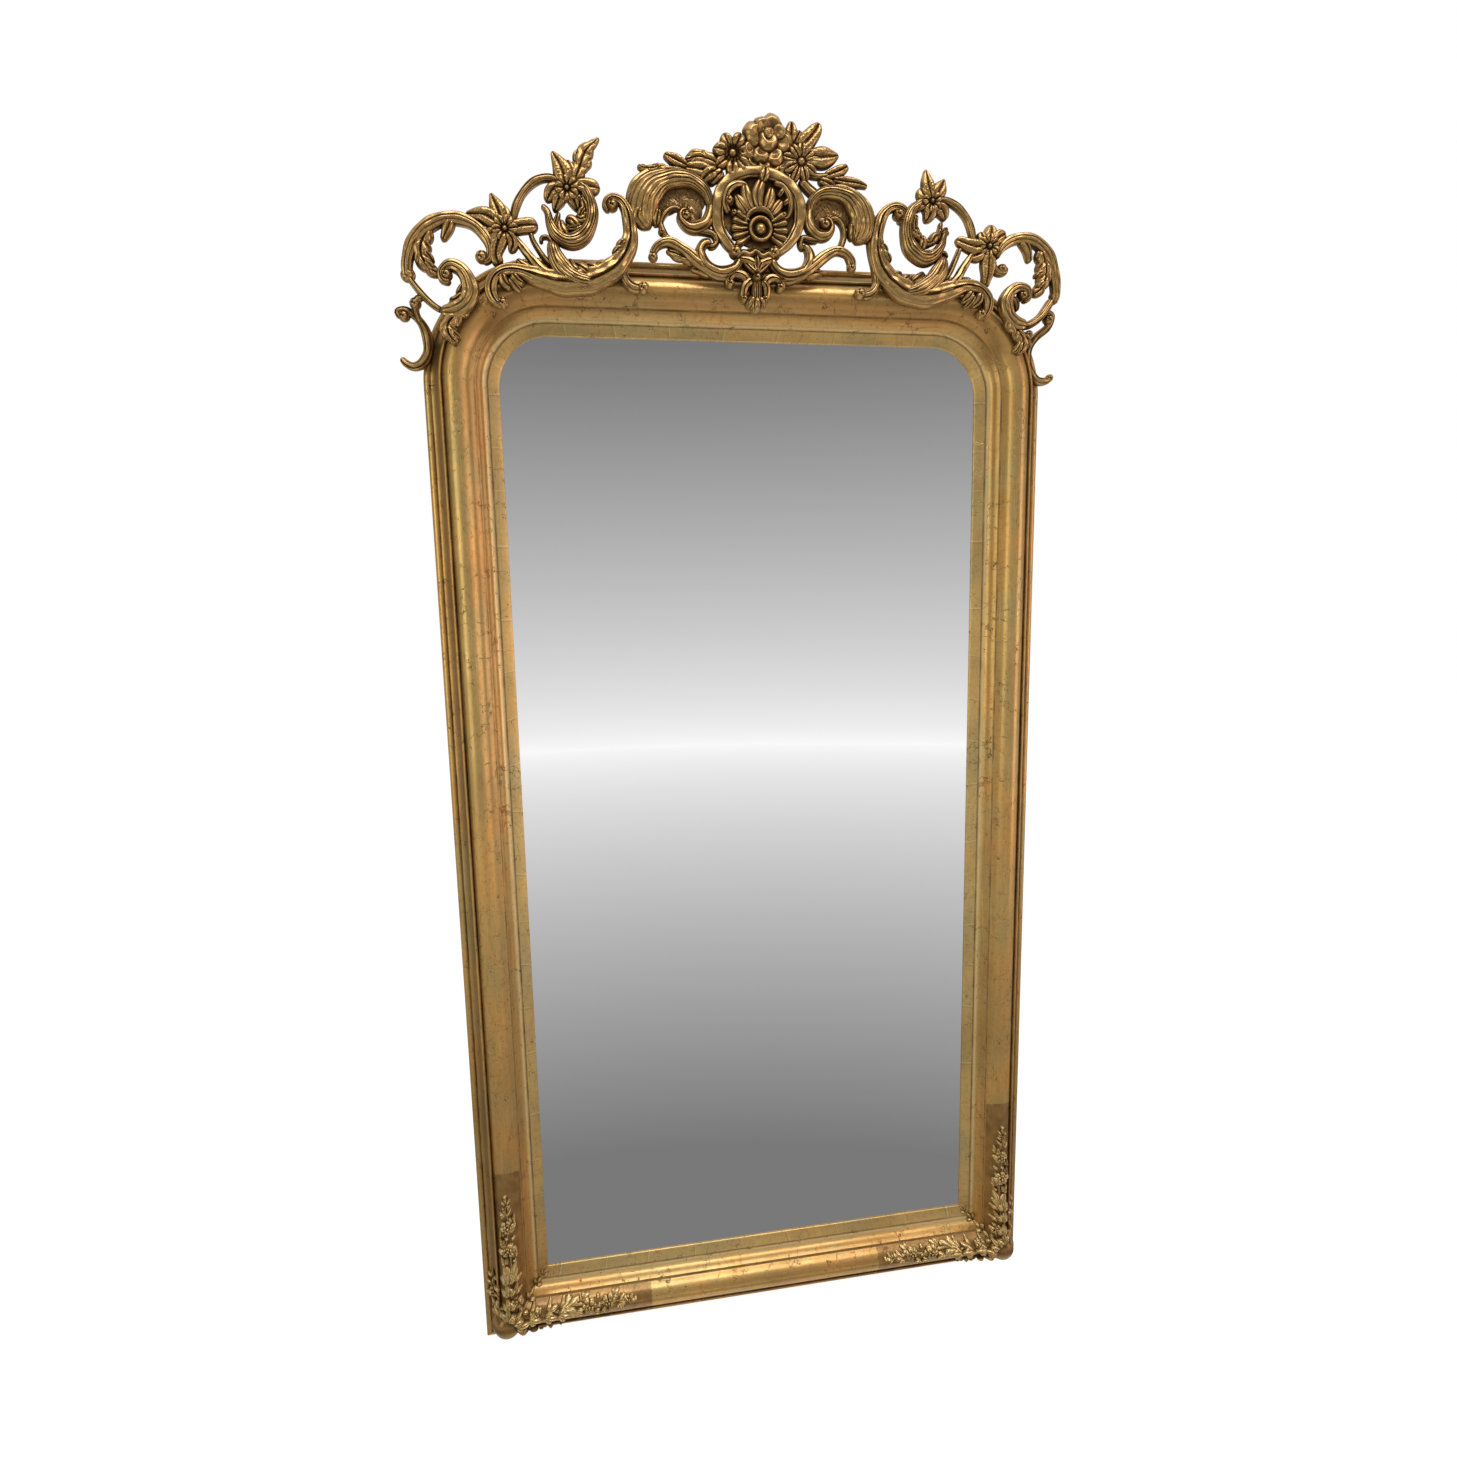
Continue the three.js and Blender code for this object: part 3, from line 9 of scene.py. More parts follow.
import bpy
import numpy as np
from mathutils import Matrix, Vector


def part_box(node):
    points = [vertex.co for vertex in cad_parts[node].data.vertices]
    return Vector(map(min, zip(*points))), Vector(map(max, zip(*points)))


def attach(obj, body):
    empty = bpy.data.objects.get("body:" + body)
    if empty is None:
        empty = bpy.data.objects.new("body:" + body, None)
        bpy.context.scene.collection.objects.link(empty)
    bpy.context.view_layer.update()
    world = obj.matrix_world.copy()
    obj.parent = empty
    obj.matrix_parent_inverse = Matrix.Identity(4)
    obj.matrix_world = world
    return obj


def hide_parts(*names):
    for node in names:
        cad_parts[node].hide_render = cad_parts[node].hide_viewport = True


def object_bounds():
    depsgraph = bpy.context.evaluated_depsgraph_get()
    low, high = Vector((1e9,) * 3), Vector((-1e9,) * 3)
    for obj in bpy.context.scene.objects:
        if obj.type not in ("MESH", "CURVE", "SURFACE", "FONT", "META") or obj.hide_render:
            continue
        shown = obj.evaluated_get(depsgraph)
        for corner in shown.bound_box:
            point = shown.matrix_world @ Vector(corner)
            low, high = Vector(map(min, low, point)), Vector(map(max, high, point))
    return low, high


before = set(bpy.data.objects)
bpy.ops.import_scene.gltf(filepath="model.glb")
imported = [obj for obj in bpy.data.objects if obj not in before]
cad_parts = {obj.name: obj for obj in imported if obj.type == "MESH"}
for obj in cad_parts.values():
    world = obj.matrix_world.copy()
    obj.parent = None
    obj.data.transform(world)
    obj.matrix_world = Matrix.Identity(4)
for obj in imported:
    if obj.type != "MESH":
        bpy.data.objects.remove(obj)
cad_low, cad_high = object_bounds()
MM = 0.001  # the sizes below are written in millimetres
print("CAD box", tuple(cad_low), tuple(cad_high))

# %% [markdown]
# ## The camera
# The photograph was taken with a wide phone lens, held a little to the left of the mirror and
# at two thirds of its height, looking down. A wide lens bends nothing that is straight, but it
# makes the far edges run together, so the place and the lens have to be right before any piece
# can be compared with the picture.

# %% Camera
camera = bpy.data.objects.new("camera", bpy.data.cameras.new("camera"))
bpy.context.scene.collection.objects.link(camera)
SENSOR = 36  # mm
FOCAL, PICTURE = 896.9, 1457  # the focal length and the picture's width, in pixels
camera.data.sensor_width = SENSOR
camera.data.lens = SENSOR * FOCAL / PICTURE
camera.location = (-0.29176, -1.43457, 1.18120)
camera.rotation_euler = [math.radians(a) for a in (81.5265, 1.1548, -10.3001)]
camera.data.clip_start, camera.data.clip_end = 0.05, 60
bpy.context.scene.camera = camera
bpy.context.scene.view_settings.view_transform = "Standard"

# %% [markdown]
# ## Helpers for nodes
# A finish is a small network: textures feed colour, roughness and relief into one shader. Each
# node is a kind, a few settings and what is plugged into it, so one function that takes those
# three covers them all. Shorter ones on top of it do arithmetic, carry one range of numbers to
# another and lay one colour over another, which keeps the finishes readable.

# %% Colours and nodes
def linear(code):
    """An sRGB hex code as linear light: c / 12.92 up to 0.04045, else ((c + 0.055) / 1.055) ** 2.4."""
    c = np.array([int(code[i : i + 2], 16) for i in (1, 3, 5)]) / 255
    return (*np.where(c <= 0.04045, c / 12.92, ((c + 0.055) / 1.055) ** 2.4), 1.0)


def add(tree, kind, inputs=None, output=0, **settings):
    """Adds a shader node. inputs maps a socket's name or number to a value or to another node's output."""
    node = tree.nodes.new("ShaderNode" + kind)
    for key, value in settings.items():
        setattr(node, key, value)
    for key, value in (inputs or {}).items():
        if isinstance(value, bpy.types.NodeSocket):
            tree.links.new(value, node.inputs[key])
        else:
            node.inputs[key].default_value = value
    return node.outputs[output] if len(node.outputs) else node


def calc(tree, operation, *values):
    """One step of arithmetic on one or two numbers."""
    return add(tree, "Math", dict(enumerate(values)), operation=operation)


def times(tree, a, b):
    """The product of two numbers, which lets one mask weaken another."""
    return calc(tree, "MULTIPLY", a, b)


def mapped(tree, value, low=0.0, high=1.0, to=(0.0, 1.0), clamp=True):
    """Carries a value from low..high to another range in proportion, and holds it at the ends."""
    span = {"Value": value, "From Min": low, "From Max": high, "To Min": to[0], "To Max": to[1]}
    return add(tree, "MapRange", span, clamp=clamp)


def axis_of(tree, vector, axis):
    """One number of a vector: 0 across, 1 back or 2 up."""
    return add(tree, "SeparateXYZ", {0: vector}, output=axis)


def over(tree, mask, under, colour):
    """Lays a colour over another where the mask is 1."""
    return add(tree, "Mix", {0: mask, 6: under, 7: colour}, output=2, data_type="RGBA")


def new_material(name, metallic=0.0, roughness=0.5):
    """A material with a Principled shader: returns it, its tree and the shader."""
    made = bpy.data.materials.new(name)
    made.use_nodes = True
    shader = made.node_tree.nodes["Principled BSDF"]
    shader.inputs["Metallic"].default_value = metallic
    shader.inputs["Roughness"].default_value = roughness
    return made, made.node_tree, shader


def plug(tree, shader, **sockets):
    """Plugs outputs into the shader's sockets; an underscore in a name stands for a space."""
    for key, value in sockets.items():
        tree.links.new(value, shader.inputs[key.replace("_", " ")])


# %% [markdown]
# ## Room, floor and light
# A mirror shows what stands in front of it. Here that is plain light: white at the height of
# the horizon and grey above and below, as in a studio with one long lit wall. The world gives
# this gradient to every reflection, and is plain white where the camera looks at it directly.
# Steeply above and below, where only the slopes of the gilding look, it is white again.
# Gold leaf is a mirror too, only a rough one, so the same gradient shapes the mouldings.

# %% World: a white horizon between greys
world = bpy.data.worlds.new("studio")
bpy.context.scene.world = world
world.use_nodes = True
sky = world.node_tree
sky.nodes.clear()
height = axis_of(sky, add(sky, "TexCoord"), 2)
grey, white = linear("#7b7b7b"), (1, 1, 1, 1)
# heights on the unit sphere round the scene
HORIZON, CEILING, GROUND = -0.165, 0.254, -0.55
STEEP_ABOVE, STEEP_BELOW = (0.40, 0.66), (-0.67, -0.85)  # where the white comes back and where it is full
FADE = 0.62  # the power that turns a share of the way into a share of grey
ON_ROUGH = 0.74  # how strongly the world lights what isn't shiny
above, below = mapped(sky, height, HORIZON, CEILING), mapped(sky, height, HORIZON, GROUND)
fade = calc(sky, "POWER", calc(sky, "MAXIMUM", above, below), FADE)
steep = calc(sky, "MAXIMUM", mapped(sky, height, *STEEP_ABOVE), mapped(sky, height, *STEEP_BELOW))
band = over(sky, steep, over(sky, fade, white, grey), white)
seen = add(sky, "LightPath")
shiny = add(sky, "LightPath", output=3)
strength = mapped(sky, calc(sky, "MAXIMUM", seen, shiny), to=(ON_ROUGH, 1.0))
backdrop = add(sky, "Background", {"Color": over(sky, seen, band, white), "Strength": strength})
add(sky, "OutputWorld", {"Surface": backdrop})


# %% Floor
def surface_object(name, vertices, faces, materials=(), body=None):
    """A mesh object at the origin, its place in its mesh, that rides on a CAD body."""
    mesh = bpy.data.meshes.new(name)
    mesh.from_pydata(vertices, [], faces)
    mesh.update()
    made = bpy.data.objects.new(name, mesh)
    bpy.context.scene.collection.objects.link(made)
    for material in materials:
        mesh.materials.append(material)
    if body:
        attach(made, body)
    return made


floor_paint, tree, shader = new_material("pale floor", roughness=0.9)
shader.inputs["Base Color"].default_value = linear("#f2f2f2")
glow = add(tree, "Emission", {"Color": white, "Strength": 1.2})
share = times(tree, add(tree, "LightPath"), 0.8)  # only the camera's own rays see the glow
both = add(tree, "MixShader", {0: share, 1: shader.outputs[0], 2: glow})
tree.links.new(both, tree.nodes["Material Output"].inputs["Surface"])
HALF_FLOOR, GAP = 9.0, 0.0004  # metres; the floor lies this far under the frame
floor_z = cad_low[2] - GAP
corners = [(a * HALF_FLOOR, b * HALF_FLOOR) for a, b in ((-1, -1), (1, -1), (1, 1), (-1, 1))]
floor = surface_object("floor", [(x, y, floor_z) for x, y in corners], [(0, 1, 2, 3)], [floor_paint])
floor.visible_glossy = False  # reflections see the world's gradient instead


# %% [markdown]
# Three large soft lamps stand for a window on the left, a warm room on the right and light
# from above. Their colours are faint, but gold shows them on every slope that faces them:
# greenish on the left-facing ones and pink on the right-facing ones.

# %% Lamps
def lamp(name, place, target, size, watts, colour):
    """A soft rectangular lamp at place that faces target."""
    data = bpy.data.lights.new(name, "AREA")
    data.shape, data.size, data.size_y = "RECTANGLE", *size
    data.energy, data.color = watts, linear(colour)[:3]
    made = bpy.data.objects.new(name, data)
    bpy.context.scene.collection.objects.link(made)
    made.location = place
    aim = np.array(target) - np.array(place)
    made.rotation_euler = Vector(aim).to_track_quat("-Z", "Y").to_euler()
    return made


MIDDLE = (0, 0, 0.9)
lamp("window", (-2.6, -1.9, 1.5), MIDDLE, (1.4, 2.4), 24, "#eef4dc")
lamp("warm_room", (2.6, -1.7, 1.2), MIDDLE, (1.2, 2.4), 20, "#ffdfda")
lamp("overhead", (0.2, -1.5, 3.6), MIDDLE, (2.4, 1.0), 46, "#f6f7ff")

# %% [markdown]
# ## Water gilding on the mouldings
# The mouldings are pine under white gesso, then a red clay called bole, then gold leaf in
# squares of about 80 mm, burnished and worn for a century and a half. To the eye it is a
# rough metal whose colour wanders between ochre and olive, thin and orange where the bole
# shows through, with dark pits, hairline cracks across the length, and dirt with painted shade
# in the quirks and the outer cove. Low on the top rail's convex it carries painted shade and
# dust, and along the cove beside the slip a painted highlight. The pattern follows the moulding,
# so it reads the piece's own map: the first number runs along the length and the second is
# the distance out from the sight edge, in metres.

# %% Gilding for the mouldings
def noise(tree, vector, scale, low=0.0, high=1.0, to=(0.0, 1.0), **more):
    """Noise of `scale` waves a metre, with low..high carried to `to`; more is Detail, Roughness or Distortion."""
    return mapped(tree, add(tree, "TexNoise", {"Vector": vector, "Scale": scale, **more}), low, high, to)


def wandering(tree, vector, colours, scale, detail=3.0, spread=(0.35, 0.65), distortion=0.0):
    """Two colours mixed by noise of `scale` waves a metre, and the share of the second one."""
    share = noise(tree, vector, scale, *spread, Detail=detail, Distortion=distortion)
    return over(tree, share, *colours), share


def near(tree, value, centre, width):
    """1 where value is at centre, falling to 0 at `width` from it."""
    gap = calc(tree, "ABSOLUTE", calc(tree, "SUBTRACT", value, centre))
    return mapped(tree, gap, width, 0.0)


def cracks(tree, vector, scale, width, spread):
    """Hairlines on the borders of cells, `scale` cells a metre, shown only in patches."""
    bent = add(tree, "TexNoise", {"Vector": vector, "Scale": scale * 2, "Detail": 4.0}, output=1)
    bent = over(tree, 0.03, vector, bent)
    edge = add(tree, "TexVoronoi", {"Vector": bent, "Scale": scale}, feature="DISTANCE_TO_EDGE")
    line = mapped(tree, edge, width * scale, 0.0)
    return times(tree, line, noise(tree, vector, scale * 0.6, *spread, Detail=2.0))


def pits(tree, vector, scale, size):
    """Round specks, about one to a cell of 1 / scale metres, of random size up to `size` of the cell."""
    cell = add(tree, "TexVoronoi", {"Vector": vector, "Scale": scale, "Randomness": 1.0})
    reach = noise(tree, vector, scale * 0.23, 0.5, 0.75, (0.0, size), Detail=3.0)
    return mapped(tree, calc(tree, "SUBTRACT", reach, cell), 0.0, 0.06)


LEAF = 0.08  # a square of gold leaf, in metres
WORN = 0.34  # how strongly the bole shows where the leaf is thinnest
DUST_AND_SHADE = (1.5, 1.62)  # the height at which the brown dust and painted shade start and are full, in metres
# Dirt and painted shade in the quirks: where the slip meets the cove, the cove the convex, and the outer cove with
# its two sides, whose whole hollow is painted darker. Each is a distance out and a reach in mm, and how dark it is.
QUIRKS = ((16.5, 2.2, 0.7), (33.2, 1.8, 0.75), (76.8, 2.4, 0.6), (87.0, 7.5, 0.5), (94.3, 2.0, 0.8))
NARROW = 5  # a quirk with less reach than this is darkened only here and there


def gild(name, ochre, olive, bole, laps=False):
    """Worn water gilding, with painted shade in the quirks and low on the top rail and a painted highlight along the
    cove. laps draws the joints of the leaf squares across the length.
    """
    made, tree, shader = new_material(name, metallic=0.6)
    place = add(tree, "TexCoord", output=3)
    runs = add(tree, "UVMap", uv_map="moulding")
    along, out = axis_of(tree, runs, 0), axis_of(tree, runs, 1)
    stretched = add(tree, "Mapping", {"Vector": runs, "Scale": (0.35, 1.0, 1.0)})
    streaked = add(tree, "Mapping", {"Vector": runs, "Scale": (9.0, 520.0, 1.0)})
    worn = noise(tree, stretched, 48.0, 0.55, 0.75, (0.0, WORN), Detail=6.0, Roughness=0.65)
    pale = noise(tree, streaked, 1.0, 0.52, 0.74, (0.0, 0.42), Detail=5.0, Roughness=0.6)
    rubbed = noise(tree, runs, 150.0, 0.5, 0.72, (0.0, 0.5), Detail=7.0, Roughness=0.7)
    cloud = noise(tree, place, 7.0, 0.42, 0.7, (0.0, 0.34), Detail=3.0)
    # the top rail gets painted shade and dust low on its convex, and the cove a painted highlight beside the slip
    dust_and_shade = mapped(tree, axis_of(tree, place, 2), *DUST_AND_SHADE, (0.0, 0.62))
    dust_and_shade = times(tree, dust_and_shade, near(tree, out, 41 * MM, 19 * MM))
    # painted highlight: a pale line along the cove beside the slip, weaker where the bole shows
    bright = times(tree, near(tree, out, 20 * MM, 4 * MM), mapped(tree, worn, 0.0, WORN, (0.62, 0.1)))
    colour, _ = wandering(tree, stretched, (ochre, olive), 26.0, 4.0, (0.38, 0.66), 0.6)
    for mask, tone in ((worn, bole), (pale, linear("#dcc084")), (rubbed, linear("#86602e")),
                       (cloud, linear("#8a602c")), (dust_and_shade, linear("#70491f")), (bright, linear("#f3d89c"))):
        colour = over(tree, mask, colour, tone)
    # one dark brown serves for the dirt in cracks and pits and for the painted shade in the quirks
    dirt_and_shade = linear("#3a2614")
    patchy = noise(tree, stretched, 60.0, 0.3, 0.6, Detail=4.0)
    for centre, reach, depth in QUIRKS:
        line = times(tree, near(tree, out, centre * MM, reach * MM), depth)
        colour = over(tree, times(tree, line, patchy) if reach < NARROW else line, colour, dirt_and_shade)
    crack = cracks(tree, runs, 34.0, 0.0005, (0.49, 0.54))
    pit = pits(tree, runs, 330.0, 0.46)
    for mask, depth in ((crack, 0.8), (pit, 0.85)):
        colour = over(tree, times(tree, mask, depth), colour, dirt_and_shade)
    if laps:
        laid = noise(tree, runs, 5.0, to=(-0.05, 0.05), Detail=0.0)
        part = calc(tree, "FRACT", calc(tree, "DIVIDE", calc(tree, "ADD", along, laid), LEAF))
        for centre, width, tone in ((0.5, 0.012, "#7d6230"), (0.525, 0.014, "#e4d6a4")):
            colour = over(tree, times(tree, near(tree, part, centre, width), 0.42), colour, linear(tone))
    rough = noise(tree, stretched, 90.0, to=(0.2, 0.42), Detail=5.0)
    grain = add(tree, "TexNoise", {"Vector": place, "Scale": 320.0, "Detail": 5.0, "Roughness": 0.6})
    relief = calc(tree, "SUBTRACT", grain, times(tree, calc(tree, "MAXIMUM", crack, pit), 3.0))
    bump = add(tree, "Bump", {"Height": relief, "Strength": 0.35, "Distance": 0.0004})
    plug(tree, shader, Base_Color=colour, Roughness=rough, Normal=bump)
    return made, tree, shader, place, out


gilding, gold_tree, gold_shader, gold_place, gold_out = gild(
    "water gilding", linear("#c49552"), linear("#b0945a"), linear("#a36a36"))
slip_gilding, *_ = gild("leaf on the slip", linear("#d2ac68"), linear("#b8a069"), linear("#b08246"), laps=True)

# %% [markdown]
# Behind the pressed ornament the field was gilded again, later and darker. The patch has a
# crisp end on each length, and lies only on the convex between the cove and the arris.

# %% The darker patches behind the ornament
PATCH = {"left_stile": 265, "right_stile": 277, "rail_left": -200, "rail_right": 200}  # where each ends, in mm
x, y, z = (axis_of(gold_tree, gold_place, axis) for axis in range(3))
ragged = noise(gold_tree, gold_place, 170.0, to=(-0.003, 0.003), Detail=5.0)
lean = mapped(gold_tree, y, -0.12, 0.0, (-0.03, 0.03), clamp=False)
x_end = calc(gold_tree, "ADD", x, ragged)
z_end = calc(gold_tree, "ADD", calc(gold_tree, "ADD", z, lean), ragged)


def within(value, low, high):
    """1 where value lies between two bounds, with an edge 1 mm soft."""
    rise = mapped(gold_tree, value, low, low + MM)
    fall = mapped(gold_tree, value, high, high + MM, (1.0, 0.0))
    return times(gold_tree, rise, fall)


low_rail = within(z, -1, 0.034)
patch = 0.0
for length, end in (
        (within(x, -0.45, -0.40), within(z_end, -1, PATCH["left_stile"] * MM)),
        (within(x, 0.40, 0.45), within(z_end, -1, PATCH["right_stile"] * MM)),
        (low_rail, within(x_end, -1, PATCH["rail_left"] * MM)),
        (low_rail, within(x_end, PATCH["rail_right"] * MM, 1))):
    patch = calc(gold_tree, "MAXIMUM", patch, times(gold_tree, length, end))
patch = times(gold_tree, patch, within(gold_out, 0.0345, 0.078))
bronze, _ = wandering(gold_tree, gold_place, (linear("#74522a"), linear("#9a743e")), 60.0, 6.0, (0.35, 0.7))
was = gold_shader.inputs["Base Color"].links[0].from_socket
plug(gold_tree, gold_shader, Base_Color=over(gold_tree, times(gold_tree, patch, 0.85), was, bronze))

# %% [markdown]
# ## Carved gilding
# The crest was gilded as the frame was, but dust and brown toning stay in its hollows and the
# high places are rubbed bright; over this the hollows get painted shade and the high places a
# painted highlight. How enclosed a place is decides all of it, so the finish asks how
# much open air each point sees within a centimetre and a half.

# %% Gilding for the carving and for the pressed ornament
def antique(name, leaf, rubbed, hollow, metallic=0.75, depth=0.92):
    """Carved gilding, dark by up to `depth` where little air reaches and bright where much does: dust, toning and
    painted shade in the hollows, rubbed leaf and a painted highlight on the high places.
    """
    made, tree, shader = new_material(name, metallic=metallic)
    place = add(tree, "TexCoord", output=3)
    open_air = add(tree, "AmbientOcclusion", {"Distance": 0.014}, output=1, samples=6)
    open_air = calc(tree, "ADD", open_air, noise(tree, place, 160.0, to=(-0.16, 0.16), Detail=4.0))
    enclosed = mapped(tree, open_air, 0.78, 0.34)
    proud = mapped(tree, open_air, 0.8, 1.06)
    pit = pits(tree, place, 300.0, 0.34)
    colour, _ = wandering(tree, place, leaf, 35.0, 5.0, (0.35, 0.68), 0.4)
    # the high places get the rubbed colour as wear and painted highlight, the hollows the dark one as dust and painted
    # shade
    for mask, share, tone in ((proud, 0.62, rubbed), (enclosed, depth, hollow), (pit, 0.7, hollow)):
        colour = over(tree, times(tree, mask, share), colour, tone)
    rough = mapped(tree, enclosed, to=(0.25, 0.7))
    grain = add(tree, "TexNoise", {"Vector": place, "Scale": 260.0, "Detail": 6.0, "Roughness": 0.65})
    relief = calc(tree, "SUBTRACT", grain, times(tree, pit, 1.5))
    bump = add(tree, "Bump", {"Height": relief, "Strength": 0.3, "Distance": 0.0006})
    plug(tree, shader, Base_Color=colour, Roughness=rough, Normal=bump)
    return made


# each of the three finishes below, the boss's too, paints shade into its hollows and a highlight on its high places,
# besides dust and rubbing
crest_gilding = antique(
    "antique gilding", (linear("#8f6a38"), linear("#765a33")), linear("#c8a468"), linear("#2e1c0b"))
composition_gilding = antique(
    "gilded composition", (linear("#ab874b"), linear("#9a7e4b")), linear("#dcc38a"), linear("#4a351a"), 0.6, 0.8)
boss_gilding = antique("rubbed boss", (linear("#80602f"), linear("#6a4a26")), linear("#8f6c3a"), linear("#2c1c0e"), 0.6)

# %% [markdown]
# ## Glass, pine and iron
# The plate is silvered behind, so it reflects like polished metal. The back is raw pine:
# broad boards whose grain runs across, dark with age. The rings and plates are forged iron.

# %% Glass, pine and iron
silvered, tree, shader = new_material("silvered glass", metallic=1.0, roughness=0.015)
shader.inputs["Base Color"].default_value = linear("#fbfbfb")
BOARDS_LOW, BOARDS_HIGH = 0.0373, 1.58785  # the heights of the three boards' outer edges, in metres


def pine_wood(name, across):
    """Planed pine: growth rings drawn out tenfold along the grain."""
    made, tree, shader = new_material(name, roughness=0.72)
    place = add(tree, "TexCoord", output=3)
    if across:  # each of the three boards comes from its own plank
        count = mapped(tree, axis_of(tree, place, 2), BOARDS_LOW, BOARDS_HIGH, (0.0, 3.0), clamp=False)
        plank, part = calc(tree, "FLOOR", count), calc(tree, "FRACT", count)
        aside = add(tree, "CombineXYZ", {0: times(tree, plank, 3.7), 1: plank})
        place = add(tree, "VectorMath", {0: place, 1: aside}, operation="ADD")
        edge = calc(tree, "MAXIMUM", near(tree, part, 0.0, 0.007), near(tree, part, 1.0, 0.007))
    slow = (6.0, 60.0, 60.0) if across else (60.0, 60.0, 6.0)
    grained = add(tree, "Mapping", {"Vector": place, "Scale": slow})
    rings = add(tree, "TexNoise", {"Vector": grained, "Scale": 1.0, "Detail": 5.0, "Roughness": 0.6, "Distortion": 0.8})
    colour = over(tree, mapped(tree, rings, 0.35, 0.65), linear("#8a6c46"), linear("#b2946a"))
    stain, _ = wandering(tree, place, (linear("#6f5434"), linear("#a5875c")), 5.0)
    colour = over(tree, 0.35, colour, stain)
    if across:
        colour = over(tree, times(tree, edge, 0.85), colour, linear("#2b1d10"))
    plug(tree, shader, Base_Color=colour,
         Normal=add(tree, "Bump", {"Height": rings, "Strength": 0.3, "Distance": 0.0006}))
    return made


pine_across = pine_wood("pine, grain across", True)
pine_upright = pine_wood("pine, grain upright", False)

toned_side, tree, shader = new_material("ochre wash on the sides", roughness=0.7)
place = add(tree, "TexCoord", output=3)
wash, _ = wandering(tree, place, (linear("#8f6a33"), linear("#5f4422")), 22.0, 6.0)
plug(tree, shader, Base_Color=wash)

forged_iron, tree, shader = new_material("forged iron", metallic=0.85)
place = add(tree, "TexCoord", output=3)
scale_colour, rust = wandering(tree, place, (linear("#3b3734"), linear("#6b4228")), 180.0, 5.0, (0.45, 0.75))
plug(tree, shader, Base_Color=scale_colour, Roughness=mapped(tree, rust, to=(0.42, 0.8)))

# %% [markdown]
# ## Closed skins
# Every new piece is a closed skin: rings of points, each ring joined to the next and the two
# ends closed. One helper does the joining, so each shape is only a formula for its rings.

# %% Skins from rings
def skin_faces(rings, sides):
    """Faces over a grid of rings x sides, closed round the sides; each end is closed by a fan about one more point."""
    i, j = np.meshgrid(np.arange(rings - 1), np.arange(sides), indexing="ij")
    k = (j + 1) % sides
    faces = np.stack([i * sides + j, i * sides + k, (i + 1) * sides + k, (i + 1) * sides + j], -1).reshape(-1, 4)
    j = np.arange(sides)
    k = (j + 1) % sides
    low = np.stack([np.full(sides, rings * sides), k, j], -1)
    top = (rings - 1) * sides
    high = np.stack([np.full(sides, rings * sides + 1), top + j, top + k], -1)
    return faces.tolist() + low.tolist() + high.tolist()


def closed_skin(grid):
    """Vertices and faces of a grid[ring, side, xyz] in mm, with faces turned outwards.

    The sign of the volume, the sum of a . (b x c) / 6 over the triangles, tells which way they face."""
    rings, sides = grid.shape[:2]
    points = np.vstack([grid.reshape(-1, 3), grid[0].mean(0), grid[-1].mean(0)]) * MM
    faces = skin_faces(rings, sides)
    a, b, c, d = (grid[:-1], np.roll(grid[:-1], -1, 1), np.roll(grid[1:], -1, 1), grid[1:])
    middle = grid.reshape(-1, 3).mean(0)
    a, b, c, d = a - middle, b - middle, c - middle, d - middle
    volume = np.einsum("ijk,ijk", a, np.cross(b, c)) + np.einsum("ijk,ijk", a, np.cross(c, d))
    if volume < 0:
        faces = [face[::-1] for face in faces]
    return points, faces


def join(skins):
    """One list of vertices and faces from several skins."""
    points, faces, count = [], [], 0
    for own, its in skins:
        points.append(own)
        faces += [[v + count for v in face] for face in its]
        count += len(own)
    return np.vstack(points), faces


def make(name, skins, materials, body="frame", replaces=(), smooth=40):
    """A finished piece from skins: shaded smooth up to an angle, riding on its body, for its CAD nodes."""
    points, faces = join(skins)
    made = surface_object(name, points.tolist(), faces, materials, body)
    made.data.polygons.foreach_set("use_smooth", np.ones(len(faces), bool))
    made.data.set_sharp_from_angle(angle=math.radians(smooth))
    if replaces:
        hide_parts(*replaces)
    return made


# %% [markdown]
# ## The moulding's profile
# A frame maker runs the profile with planes, so it is one outline the whole way round: a cove
# beside the slip, a broad convex, a sharp arris, an outer cove and a bead on the edge. It is
# worked out here as curves, each point a distance out from the sight edge and a distance
# forward of its plane.

# %% Profile
SIGHT_HALF, SIGHT_LOW, SIGHT_HIGH = 370.0, 65.0, 1560.0
CORNER = 75.0  # radius of the sight opening's two top corners
CORNER_X, CORNER_Z = SIGHT_HALF - CORNER, SIGHT_HIGH - CORNER
WALL = -30.0  # the wall plane, from the sight plane


def bend(a, b, c, count):
    """A quadratic curve: (1 - t)^2 a + 2 t (1 - t) b + t^2 c."""
    t = np.linspace(0, 1, count + 1)[:, None]
    return (1 - t) ** 2 * np.array(a) + 2 * t * (1 - t) * np.array(b) + t**2 * np.array(c)


def cubic(w, a, b, slope_a, slope_b):
    """From a to b as w goes 0..1: (2w^3 - 3w^2 + 1) a + (w^3 - 2w^2 + w) a' + (3w^2 - 2w^3) b + (w^3 - w^2) b'."""
    blend = (2 * w**3 - 3 * w**2 + 1) * a + (w**3 - 2 * w**2 + w) * slope_a
    return blend + (3 * w**2 - 2 * w**3) * b + (w**3 - w**2) * slope_b


def wave(points, count):
    """A curve through points: on each span a cubic whose end slopes are half the chord of the two neighbours."""
    p = np.array(points, float)
    p = np.vstack([p[0], p, p[-1]])
    s = np.linspace(0, len(points) - 1, count + 1)
    k = np.minimum(s.astype(int), len(points) - 2)
    a, b = p[k + 1], p[k + 2]
    return cubic((s - k)[:, None], a, b, (b - p[k]) / 2, (p[k + 3] - a) / 2)


